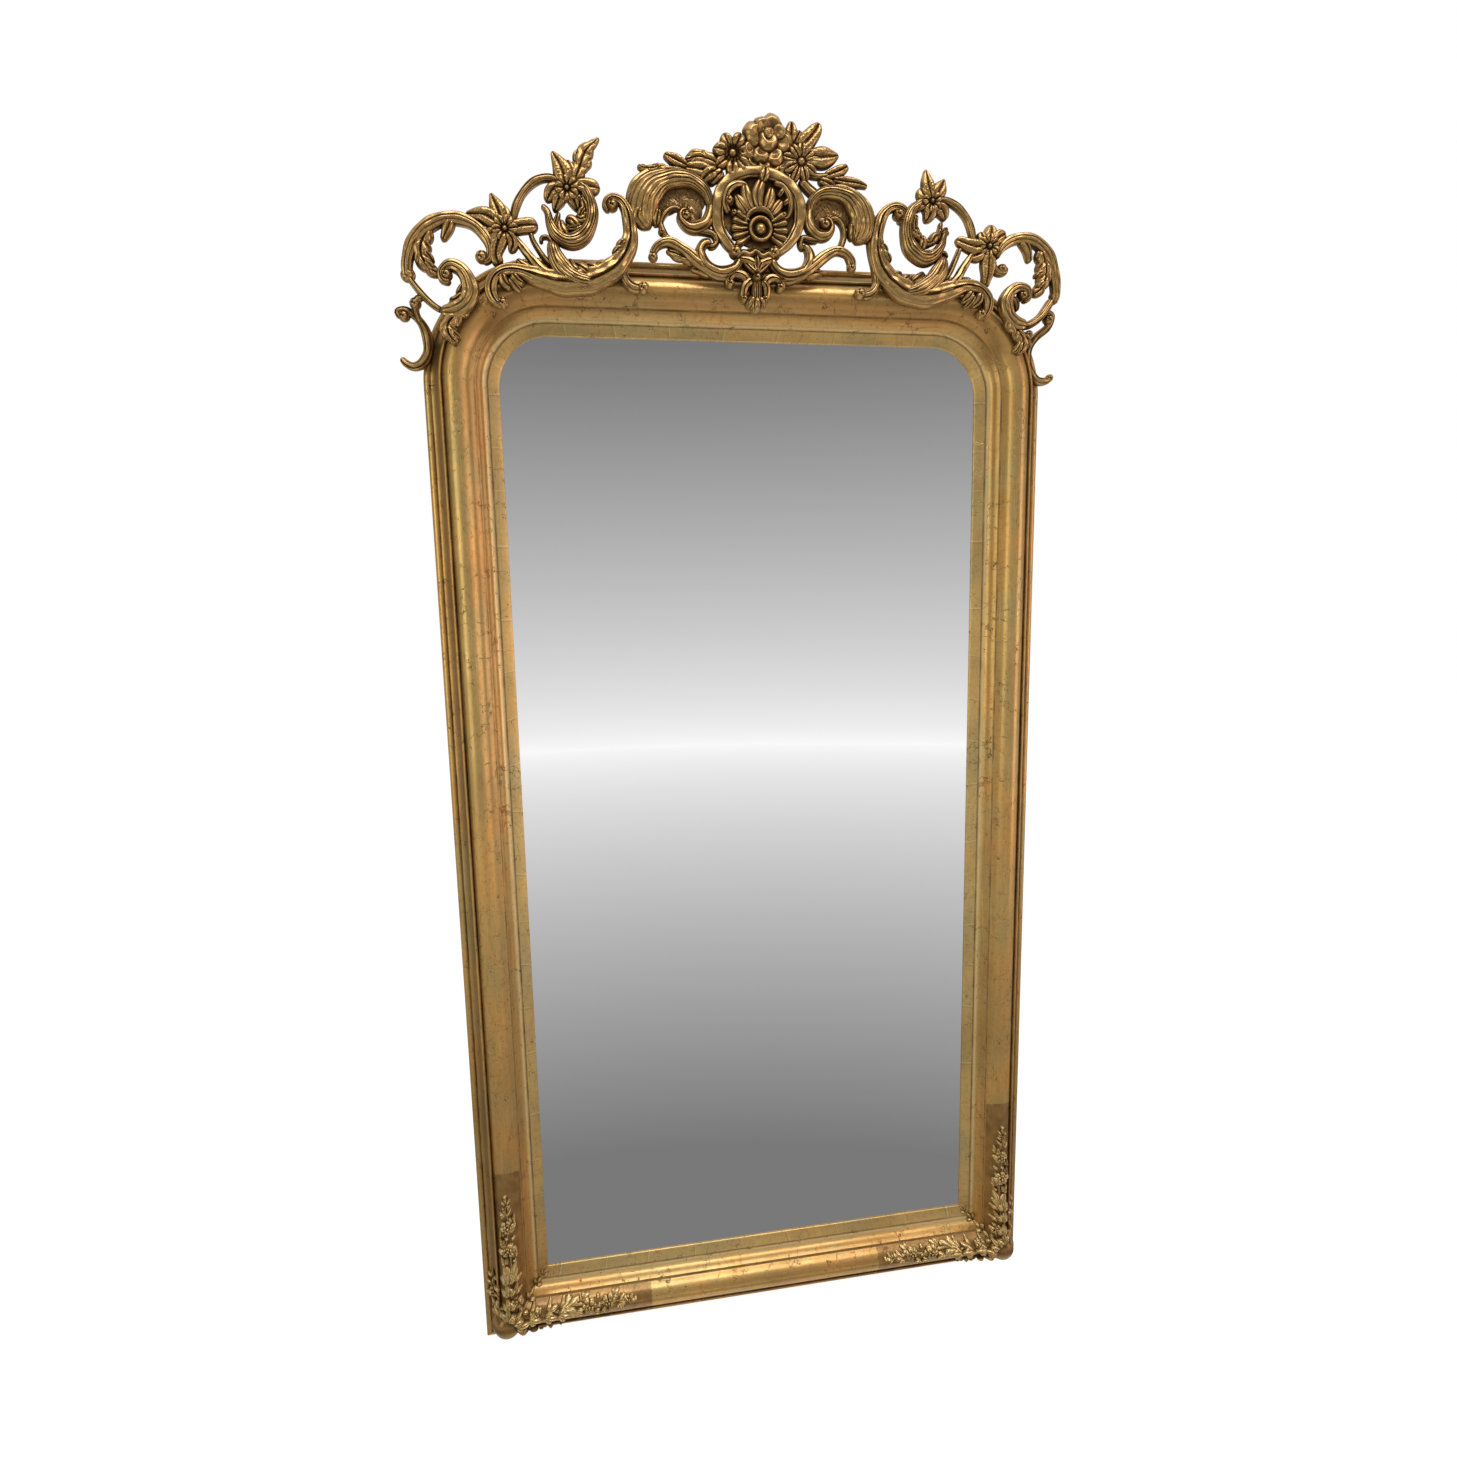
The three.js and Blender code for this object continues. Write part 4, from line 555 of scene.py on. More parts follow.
FACE = np.vstack([
    bend((16, 8.6), (27.5, 9.5), (31.5, 27), 14),
    wave([(35.2, 29), (42, 39), (51, 45.2), (58, 47), (66, 45), (72, 40.5), (77, 33)], 42),
    wave([(77.4, 37.6), (79, 39.4), (81, 37.6)], 8),
    bend((81.3, 36), (82.5, 19), (94, 14.6), 16),
    wave([(94.4, 12.5), (98, 15), (103, 13), (105, 8), (103.6, 3)], 20),
])
BACK = np.array([(103.6, WALL), (28, WALL), (28, -14), (16, -14)])
PROFILE = np.vstack([FACE, BACK])
slip_nose = bend((0, 0), (0.1, 1.5), (1.2, 1.9), 4)
slip_bevel = bend((1.2, 1.9), (8.6, 5.6), (15.7, 8.2), 10)
SLIP = np.vstack([[(0, -1)], slip_nose, slip_bevel[1:], [(15.7, -1)]])


def face_height(out):
    """How far the face stands forward at a distance out from the sight edge."""
    return np.interp(out, np.append([0, 15.7], FACE[:, 0]), np.append([0, 8.2], FACE[:, 1]))


print("profile points", len(PROFILE), "slip points", len(SLIP))


# %% [markdown]
# ## Running the moulding
# Each length is the profile carried between its two ends. The bottom corners are mitred, so
# there the end of the length depends on the distance out. The two top corners turn about a
# centre 75 mm inside the sight edge. Every point keeps its distance along and its distance
# out as the piece's own map, which the gilding reads.

# %% Lengths of moulding
def moulding(name, profile, grid, length, materials, split, replaces):
    """A swept piece with its map (along, out); the faces behind profile point `split` get other finishes."""
    made = make(name, [closed_skin(grid)], materials, replaces=replaces, smooth=28)
    mesh = made.data
    rings, sides = grid.shape[:2]
    flat = np.append(length.ravel(), [length.flat[0], length.flat[-1]])  # the two ends' middle points come last
    out = np.append(np.tile(profile[:, 0], rings), [profile[0, 0]] * 2)
    index = np.empty(len(mesh.loops), int)
    mesh.loops.foreach_get("vertex_index", index)
    uv = np.stack([flat[index], out[index]], -1) * MM
    mesh.uv_layers.new(name="moulding").data.foreach_set("uv", uv.ravel())
    if split:
        side = index % sides  # the profile point each corner of a face lies on
        starts, totals = np.empty((2, len(mesh.polygons)), int)
        mesh.polygons.foreach_get("loop_start", starts)
        mesh.polygons.foreach_get("loop_total", totals)
        corners = np.where(index < rings * sides, side, 0)
        low = np.minimum.reduceat(corners, starts)
        high = np.maximum.reduceat(corners, starts)
        finish = np.where(high < split, 0, np.where((low == split - 1) & (high == split), 1, 2))
        finish[totals == 3] = 2
        mesh.polygons.foreach_set("material_index", finish)
    return made


def straight(profile, place, start, end):
    """Two stations; start and end say how far along each point of the profile stops."""
    out, forward = profile.T
    ends = np.stack([start + 0 * out, end + 0 * out])
    return np.stack([place(out, forward, stop) for stop in ends]), ends


MIDDLE_OUT = 50  # the middle of the moulding's breadth, which measures the length of a turned corner


def turned(profile, side, count=64):
    """Stations round a top corner: the profile at a distance CORNER + out from the corner's centre."""
    out, forward = profile.T
    reach = CORNER + out
    angle = np.linspace(0, math.pi / 2, count)[:, None]
    x = side * (CORNER_X + reach * np.cos(angle))
    z = CORNER_Z + reach * np.sin(angle)
    length = np.broadcast_to(angle * (CORNER + MIDDLE_OUT), x.shape)
    return np.stack([x, np.broadcast_to(WALL - forward, x.shape), z], -1), length


def on_stile(side):
    """Places a profile point on a stile, z up."""
    return lambda out, forward, z: np.stack([side * (SIGHT_HALF + out), WALL - forward, z], -1)


def on_rail(sight, way):
    """Places a profile point on a rail that lies up (1) or down (-1) from its sight edge, x across."""
    return lambda out, forward, x: np.stack([x, WALL - forward, sight + way * out], -1)


behind = len(FACE)  # the first profile point that isn't on the face
lengths = []
for kind, profile, split in (("stile", PROFILE, behind), ("slip", SLIP, 0)):
    out = profile[:, 0]
    prefix, block = ("", "corner_block_") if split else ("slip_", "slip_corner_")
    upright = [gilding, toned_side, pine_upright] if split else [slip_gilding]
    level = [gilding, toned_side, pine_across] if split else [slip_gilding]
    for side, hand in ((-1, "left"), (1, "right")):
        grid, length = straight(profile, on_stile(side), SIGHT_LOW - out, CORNER_Z)
        lengths.append(moulding(f"{kind}_{hand}_run", profile, grid, length, upright, split, [f"{kind}_{hand}"]))
        grid, length = turned(profile, side)
        node = f"{block}{hand}"
        lengths.append(moulding(f"{node}_turned", profile, grid, length, upright, split, [node]))
    grid, length = straight(profile, on_rail(SIGHT_HIGH, 1), -CORNER_X, CORNER_X)
    node = "top_rail" if split else "slip_top"
    lengths.append(moulding(f"{prefix}top_run", profile, grid, length, level, split, [node]))
    mitre = SIGHT_HALF + out
    grid, length = straight(profile, on_rail(SIGHT_LOW, -1), -mitre, mitre)
    node = "bottom_rail" if split else "slip_bottom"
    lengths.append(moulding(f"{prefix}bottom_run", profile, grid, length, level, split, [node]))
print("lengths of moulding", len(lengths), "faces", sum(len(made.data.polygons) for made in lengths))

# %% [markdown]
# ## How a carver's line becomes a surface
# A carver draws each scroll or leaf as a line that swells and tapers, then gives it a section:
# strands on a scroll, lobes and veins on a leaf, a cup on a petal. Here a line is a few
# points, each with its place across and up, the breadth, the thickness and how far it stands
# off the crest's flat back. A smooth curve runs through them and the section rides along it.

# %% Smooth lines
CREST_BACK = 47.4  # the crest's flat back, forward of the sight plane, just proud of the moulding
CREST_AT = (0.0, SIGHT_HIGH)  # places in the crest are across from the middle and up from the sight's top
LOW_AT = (0.0, SIGHT_LOW)


def smooth_line(points, t):
    """Rows blended at t in 0..1 by cubic spans; slopes weigh neighbours by the root of their distance."""
    p = np.array([tuple(row) + (0,) * (5 - len(row)) for row in points], float)
    p = np.vstack([2 * p[0] - p[1], p, 2 * p[-1] - p[-2]])
    gap = np.sqrt(np.maximum(np.hypot(*np.diff(p[:, :2], axis=0).T), 1e-3))[:, None]
    slope = np.diff(p, axis=0) / gap
    rate = slope[:-1] + slope[1:] - (p[2:] - p[:-2]) / (gap[1:] + gap[:-1])
    at = t * (len(points) - 1)
    k = np.minimum(at.astype(int), len(points) - 2)
    return cubic((at - k)[:, None], p[k + 1], p[k + 2], rate[k] * gap[k + 1], rate[k + 1] * gap[k + 1])


def valley(value, width):
    """1 at every whole number, falling to 0 within `width` of it."""
    off = np.abs(value - np.round(value))
    return np.exp(-((off / width) ** 2))


# %% [markdown]
# A section is a formula for how far the surface rises or sinks, as a share of the thickness. It
# reads a, the place across from -1 to 1, s, the distance along the run, and the run's breadth.

# %% Sections that a carver uses
LOBE = 19.0  # from one lobe of a leaf to the next, mm


def scroll_relief(a, s, breadth):
    """Strands side by side: grooves at equal steps across, and a rolled edge on each side."""
    strands = max(2, min(4, round(breadth.max() / 7)))
    bent = a + 0.1 * np.sin(math.pi * a)
    edge = 0.1 * np.clip((np.abs(a) - 0.6) / 0.3, 0, 1)
    return edge - 0.2 * valley(strands * (bent + 1) / 2, 0.1) * (np.abs(a) < 0.97)


def band_relief(a, s, breadth):
    """A broad roll that stands higher along its outer edge, scored by a few fine lines."""
    lines = sum(np.exp(-(((a - at) / 0.05) ** 2)) for at in (0.83, 0.56, 0.2, -0.2, -0.56))
    return 0.06 * a - 0.11 * lines * (0.8 + 0.2 * np.sin(s / 9 + 4 * a))


def gouged_relief(a, s, breadth):
    """A floor sunk between raised edges and pitted by short strokes of a gouge."""
    strokes = valley(s / 4.6 + 0.35 * np.sin(7 * a), 0.2)
    strokes = strokes * valley(breadth.mean() * a / 7 + 0.3 * np.sin(s / 3), 0.4)
    return -0.5 * (1 - np.abs(a) ** 2.5) - 0.3 * strokes


def lobe_relief(a, s, breadth):
    """A plump finger of a leaf, with one groove a little off its middle."""
    return -0.22 * np.exp(-(((a - 0.12) / 0.16) ** 2))


def rim_relief(a, s, breadth):
    """A flat rim, with one line cut near its inner edge."""
    return -0.16 * np.exp(-(((a + 0.56) / 0.1) ** 2))


def round_relief(a, s, breadth):
    """A rope-smooth roll with one fine line cut along it."""
    return -0.22 * np.exp(-(((a - 0.5) / 0.14) ** 2)) - 0.1 * np.exp(-(((a + 0.45) / 0.1) ** 2))


def leaf_relief(a, s, breadth):
    """A midrib groove, and veins that slant back from the edge to it, one to each lobe."""
    veins = valley(s / LOBE - 0.55 * np.abs(a), 0.13) * np.sqrt(np.abs(a))
    return -0.3 * veins - 0.3 * np.exp(-((a / 0.12) ** 2))


def petal_relief(a, s, breadth):
    """Cupped: raised towards both edges, with a groove down the middle and faint veins."""
    return 0.25 * np.abs(a) - 0.22 * np.exp(-((a / 0.16) ** 2)) - 0.1 * valley(s / 4.5 - 0.9 * np.abs(a), 0.2)


RELIEF = {"scroll": scroll_relief, "band": band_relief, "round": round_relief, "rim": rim_relief, "leaf": leaf_relief,
          "petal": petal_relief, "lobe": lobe_relief, "gouged": gouged_relief}
FINE = {"band": 33}  # points across the front of a section with fine lines
SHOULDER = {"scroll": 0.45, "band": 0.4, "rim": 0.68, "gouged": 0.6}  # height of the widest place
LOW_SHOULDER = 0.33  # and of the other sections
SAMPLES = 60  # for each point of a run, to measure its length
BLUNT = 0.12  # the share of its breadth that a run still has at its very tip
CURL = 0.8  # the share of a curl's radius that a run may fill on the inside


def carve(kind, points, at=CREST_AT, step=1.7, front=21):
    """The skin of one carved run.

    A ring is x = line + normal * breadth/2 * a, forward = thickness * up(a), where a goes from -1 to 1 over the
    front as sin(angle), up = shoulder + (1 - shoulder) * cos(angle)^0.7 * (1 + relief), and the back is flat."""
    fine = smooth_line(points, np.linspace(0, 1, SAMPLES * len(points)))
    run = np.append(0, np.cumsum(np.hypot(*np.diff(fine[:, :2], axis=0).T)))
    total = run[-1]
    tips = [min(fine[i, 2] / 2, total * 0.3) for i in (0, -1)]
    ease = np.linspace(0, math.pi / 2, 6)[:-1]
    count = max(4, int((total - sum(tips)) / step))
    s = np.concatenate([tips[0] * (1 - np.cos(ease)), np.linspace(tips[0], total - tips[1], count),
                        total - tips[1] * (1 - np.cos(ease))[::-1]])
    end = np.concatenate([np.sin(ease), np.ones(count), np.sin(ease)[::-1]])
    end = np.maximum(end, BLUNT)
    x, z, breadth, thickness, lift = (np.interp(s, run, fine[:, c]) for c in range(5))
    tangent = np.stack([np.gradient(x, s), np.gradient(z, s)])
    tangent /= np.hypot(*tangent)
    heading = np.unwrap(np.arctan2(tangent[1], tangent[0]))
    turn = np.gradient(heading, s)
    turn = np.convolve(np.pad(turn, 2, mode="edge"), np.ones(5) / 5, "valid")
    angle = np.linspace(-math.pi / 2, math.pi / 2, FINE.get(kind, front))
    shoulder = SHOULDER.get(kind, LOW_SHOULDER)
    a = np.sin(angle)[None, :]
    relief = RELIEF[kind](a, s[:, None], breadth)
    seed = points[0][0] * 0.37 + points[0][1] * 0.73  # each piece gets its own unevenness
    hand = 0.035 * np.sin(s / 3.7 + seed)[:, None] * np.cos(2.3 * a + seed)
    hand = hand + 0.03 * np.sin(s / 8.3 + 2 * seed)[:, None]
    up = shoulder + (1 - shoulder) * np.cos(angle)[None, :] ** 0.7
    up = up * (1 + (relief + hand) * np.clip(thickness / 9, 0.4, 1)[:, None])
    up = up * (0.35 + 0.65 * end[:, None])
    wide = 1 + 0.05 * np.sin(s / 6.1 + seed)
    if kind == "leaf":
        wide = wide * (0.76 + 0.32 * np.abs(np.sin(math.pi * s / LOBE)) ** 0.7)
    reach = a * (breadth * end * wide / 2)[:, None]
    low = np.array([[0.99, 0.2], [0.9, 0.0]])  # down each side to the flat back
    right = np.stack([np.stack([reach[:, -1] * w, up[:, -1] * h], -1) for w, h in low], 1)
    left = np.stack([np.stack([reach[:, 0] * w, up[:, 0] * h], -1) for w, h in low[::-1]], 1)
    across = np.concatenate([reach, right[..., 0], left[..., 0]], 1)
    height = np.concatenate([up, right[..., 1], left[..., 1]], 1)
    bends = np.abs(turn) > 1e-4
    bound = np.where(bends, CURL / np.where(bends, turn, 1), np.inf)[:, None]
    across = np.where(across * turn[:, None] > CURL, bound, across)  # the inside of a tight curl stays open
    px = at[0] + x[:, None] - tangent[1][:, None] * across
    pz = at[1] + z[:, None] + tangent[0][:, None] * across
    rise = lift[:, None] + 0.5 * (seed * 0.618 % 1)  # no two backs share a plane where runs cross
    py = WALL - CREST_BACK - rise - height * thickness[:, None]
    return closed_skin(np.stack([px, py, pz], -1))


# %% [markdown]
# ## Eyes, berries and flower heads
# A scroll ends in an eye, which the carver turns with one sweep of a gouge: a low button with
# a groove winding in. Flowers are petals set round a heart, and a daisy's heart is ringed with
# small punched beads.

# %% Eyes and flowers
def eye(x, z, radius, thickness, lift=0, at=CREST_AT, winds=1.3, sides=28, rings=10):
    """A button: at share r of its radius it stands thickness * (1 - r^2.4)^0.6 high, less a spiral groove."""
    turn = np.linspace(0, 2 * math.pi, sides, endpoint=False)[None, :]
    share = np.sin(np.linspace(math.pi / 2, 0.06, rings))[:, None]
    high = 0.3 + 0.7 * (1 - share**2.4) ** 0.6
    groove = valley(turn / (2 * math.pi) + winds * share, 0.12) * (share > 0.12) * (share < 0.93) if winds else 0
    high = high * (1 - 0.2 * groove)
    out = np.concatenate([[[0.9]], [[0.99]], share])
    high = np.concatenate([np.zeros((1, sides)), np.full((1, sides), 0.15), np.broadcast_to(high, (rings, sides))])
    px = at[0] + x + radius * out * np.cos(turn)
    pz = at[1] + z + radius * out * np.sin(turn)
    py = WALL - CREST_BACK - lift - high * thickness
    return closed_skin(np.stack([px + 0 * py, py, pz + 0 * py], -1))


def flower(at, radius, petals, thickness, lift=0, turn=0, heart=0.28, beads=0, origin=CREST_AT, kind="petal", tip=0.45):
    """Petals at equal turns round a heart: each is a short run that swells at 0.65 of the radius and comes to a tip."""
    x, z = at
    skins = []
    wide = 2 * math.pi * 0.6 * radius / petals
    for k in range(petals):
        way = turn + 2 * math.pi * k / petals
        long = radius * (1 + 0.06 * math.sin(5 * k + x))  # no two petals are quite alike
        tilt = 1.6 * math.sin(3 * k + z)
        place = lambda share: (x + long * share * math.cos(way), z + long * share * math.sin(way))
        skins.append(carve(kind, [
            (*place(0.16), wide * 0.5, thickness * 0.6, lift + 1),
            (*place(0.62), wide * 1.2, thickness * 0.75 + tilt * 0.5, lift + 1.5 + tilt * 0.5),
            (*place(1.0), wide * tip, thickness * 0.6, lift + 1)], at=origin, step=1.5, front=15))
    skins.append(eye(x, z, radius * heart, thickness * 0.95, lift, at=origin, winds=0, sides=20, rings=7))
    for k in range(beads):
        way = 2 * math.pi * k / beads
        reach = radius * heart * 1.35
        skins.append(eye(x + reach * math.cos(way), z + reach * math.sin(way), 2.3, thickness * 1.05, lift + 1,
                         at=origin, winds=0, sides=8, rings=4))
    return skins

# %% [markdown]
# ## The crest's lines
# The two halves answer each other without being mirror images, so each is written from its own
# side. A piece lists its runs by section, and a run is its points: across from the middle, up
# from the top of the sight opening, breadth, thickness and, where it lies on another run or
# hangs over the edge, how far it stands off the crest's back. An eye gives its place, radius and
# thickness. Leaves that peel off a scroll are short lobes of their own, as a carver cuts them last.

# %% Lines of the crest: the middle
MIDDLE_OF_CREST = {
    "cartouche_ring": {
        "rim": [[(-24, 106, 10, 14), (-38, 119, 14, 14), (-50, 140, 17, 14), (-51, 170, 18, 14), (-39, 198, 18, 14),
                 (-11, 214, 17, 14), (25, 214, 17, 14), (53, 201, 18, 14), (68, 178, 18, 14), (67, 148, 17, 14),
                 (53, 123, 14, 14), (32, 106, 10, 14)]],
        "eye": [(-26, 108, 10, 18), (31, 109, 10, 18)],
    },
    "acanthus_left": {
        "scroll": [[(-84, 205, 8, 10), (-108, 210, 13, 12), (-138, 207, 17, 13), (-160, 195, 19, 13),
                    (-172, 177, 17, 12), (-177, 160, 12, 10)]],
        "band": [[(-60, 164, 10, 12), (-67, 184, 16, 16), (-84, 198, 21, 18), (-110, 201, 25, 19),
                  (-136, 192, 32, 19), (-152, 174, 40, 18), (-156, 154, 38, 17), (-152, 140, 28, 14),
                  (-148, 134, 14, 10)]],
        "round": [
            [(-62, 176, 9, 12), (-62, 160, 14, 14), (-68, 146, 18, 16), (-82, 138, 18, 17), (-96, 140, 15, 16),
             (-105, 150, 11, 14), (-102, 160, 8, 12), (-95, 162, 6, 11)],
            [(-103, 160, 7, 11), (-114, 163, 9, 11), (-126, 156, 9, 11), (-133, 143, 9, 11), (-129, 131, 9, 11),
             (-123, 120, 9, 10)],
            [(-84, 134, 11, 12), (-70, 134, 11, 12), (-58, 131, 10, 12), (-53, 123, 10, 12), (-58, 115, 9, 11),
             (-66, 114, 8, 10)]],
        "leaf": [[(-116, 208, 10, 12), (-130, 214, 13, 13), (-146, 211, 12, 13), (-158, 214, 9, 10),
                  (-163, 217, 5, 7)]],
        "lobe": [
            [(-162, 160, 10, 16, 2), (-167, 147, 13, 15, 1), (-163, 138, 9, 11)],
            [(-136, 160, 9, 14, 2), (-139, 146, 12, 14, 1), (-140, 137, 9, 10)],
            [(-132, 212, 8, 13, 2), (-138, 219, 8, 10, 2)]],
        "gouged": [
            [(-74, 162, 26, 8), (-86, 176, 40, 9), (-104, 180, 40, 9), (-122, 170, 34, 8), (-130, 154, 20, 7)],
            [(-76, 150, 22, 8), (-92, 164, 26, 8), (-112, 166, 16, 7)]],
        "eye": [(-97, 152, 8, 19), (-131, 131, 6, 13), (-125, 123, 6, 12)],
    },
    "acanthus_right": {
        "scroll": [[(100, 193, 8, 10), (122, 200, 12, 12), (146, 195, 16, 13), (164, 182, 18, 13), (175, 165, 17, 12),
                    (181, 146, 12, 10)]],
        "band": [[(83, 164, 10, 12), (88, 182, 13, 15), (104, 193, 17, 17), (128, 193, 20, 18), (149, 183, 28, 19),
                  (161, 165, 36, 18), (162, 147, 34, 17), (157, 134, 26, 14), (154, 127, 14, 10)]],
        "round": [
            [(86, 178, 9, 12), (83, 162, 14, 14), (85, 146, 17, 16), (97, 136, 17, 16), (110, 137, 14, 15),
             (117, 147, 11, 14), (114, 157, 8, 12), (106, 159, 6, 11)],
            [(112, 158, 7, 11), (124, 160, 9, 11), (134, 150, 9, 11), (136, 136, 9, 11), (132, 124, 9, 11),
             (127, 115, 9, 10)],
            [(98, 130, 10, 12), (84, 130, 11, 12), (73, 131, 9, 12), (70, 123, 9, 11), (75, 115, 9, 11)],
            [(70, 210, 15, 12), (84, 197, 15, 13), (100, 186, 14, 14)]],
        "lobe": [
            [(170, 152, 10, 16, 2), (172, 138, 12, 15, 1), (166, 130, 9, 11)],
            [(146, 154, 9, 14, 2), (147, 140, 12, 14, 1), (148, 131, 9, 10)]],
        "gouged": [
            [(92, 160, 26, 8), (104, 172, 38, 9), (122, 174, 34, 9), (138, 164, 26, 8), (143, 150, 16, 7)],
            [(94, 148, 18, 8), (108, 160, 20, 8), (126, 162, 14, 7)]],
        "eye": [(107, 150, 8, 19)],
    },
    "lower_scroll_left": {
        "round": [[(-60, 119, 11, 13), (-72, 117, 14, 15), (-78, 104, 16, 17), (-72, 90, 17, 18), (-57, 81, 17, 18),
                   (-40, 80, 17, 18), (-26, 88, 15, 17), (-20, 100, 12, 15)]],
    },
    "lower_scroll_right": {
        "round": [[(74, 122, 9, 12), (82, 114, 13, 14), (84, 100, 16, 17), (76, 87, 17, 18), (60, 80, 17, 18),
                   (44, 80, 17, 18), (31, 89, 15, 17), (26, 101, 12, 15)]],
    },
    "branch_left": {
        "scroll": [[(-30, 72, 8, 11), (-52, 76, 15, 14), (-78, 90, 19, 16), (-104, 109, 16, 15), (-124, 117, 13, 14),
                    (-139, 111, 12, 13), (-147, 99, 10, 11)]],
        "leaf": [[(-84, 90, 12, 12), (-100, 97, 15, 12), (-116, 103, 13, 11), (-126, 107, 6, 8)]],
        "lobe": [[(-62, 76, 12, 11), (-78, 82, 13, 11), (-92, 84, 8, 9)]],
        "eye": [(-145, 97, 7, 14), (-124, 120, 7, 13)],
    },
    "branch_right": {
        "scroll": [[(34, 70, 8, 11), (56, 74, 15, 14), (84, 90, 18, 16), (107, 108, 15, 14), (125, 116, 13, 13),
                    (141, 112, 11, 12), (150, 100, 10, 11), (149, 92, 7, 9)]],
        "leaf": [[(76, 78, 12, 12), (92, 84, 13, 12), (104, 87, 7, 9)]],
        "lobe": [[(140, 112, 8, 11), (145, 100, 8, 10), (144, 90, 6, 8)]],
        "eye": [(148, 94, 7, 14), (128, 119, 6, 12)],
    },
    "pendant": {
        "scroll": [
            [(-8, 66, 12, 14), (-17, 76, 13, 16), (-30, 77, 12, 15), (-38, 68, 10, 13), (-37, 60, 7, 11)],
            [(14, 62, 12, 14), (22, 72, 13, 16), (34, 73, 12, 15), (42, 65, 10, 13), (41, 58, 7, 11)],
            [(-2, 72, 13, 16), (-13, 62, 13, 16), (-16, 50, 11, 14), (-14, 42, 9, 12)],
            [(10, 70, 12, 16), (18, 60, 12, 15), (18, 48, 10, 13), (16, 42, 8, 11)],
            [(-24, 98, 12, 14), (-10, 96, 12, 16), (4, 90, 12, 16)],
            [(30, 98, 12, 14), (18, 96, 12, 16), (6, 90, 12, 16)]],
        "band": [[(3, 74, 16, 16), (3, 60, 15, 17), (3, 46, 16, 17), (3, 38, 12, 14)]],
        "round": [
            [(0, 48, 12, 17), (-6, 38, 17, 17), (-10, 32, 12, 12)],
            [(6, 48, 12, 17), (12, 39, 17, 17), (16, 34, 12, 12)],
            [(3, 48, 14, 19), (3, 34, 19, 20), (3, 24, 13, 13)],
            [(-26, 98, 8, 12, 2), (-16, 106, 10, 14, 3), (-6, 104, 9, 13, 4), (2, 109, 8, 12, 4), (12, 103, 9, 13, 4),
             (22, 106, 10, 14, 3), (31, 99, 8, 12, 2)]],
        "lobe": [
            [(3, 78, 8, 13, 4), (-8, 88, 10, 13, 3), (-17, 98, 8, 10, 2)],
            [(3, 78, 8, 13, 4), (-2, 92, 10, 13, 3), (-7, 104, 8, 10, 2)],
            [(3, 78, 8, 13, 4), (4, 94, 10, 13, 3), (4, 108, 8, 10, 2)],
            [(3, 78, 8, 13, 4), (10, 92, 10, 13, 3), (15, 104, 8, 10, 2)],
            [(3, 78, 8, 13, 4), (15, 88, 10, 13, 3), (24, 97, 8, 10, 2)]],
        "gouged": [
            [(-20, 102, 24, 9), (3, 98, 38, 11), (26, 101, 24, 9)],
            [(-12, 92, 20, 12), (3, 88, 30, 14), (18, 92, 20, 12)]],
        "eye": [(3, 72, 7, 25), (-35, 65, 7, 18), (39, 62, 7, 18), (-15, 44, 6, 19), (16, 45, 6, 18)],
    },
}

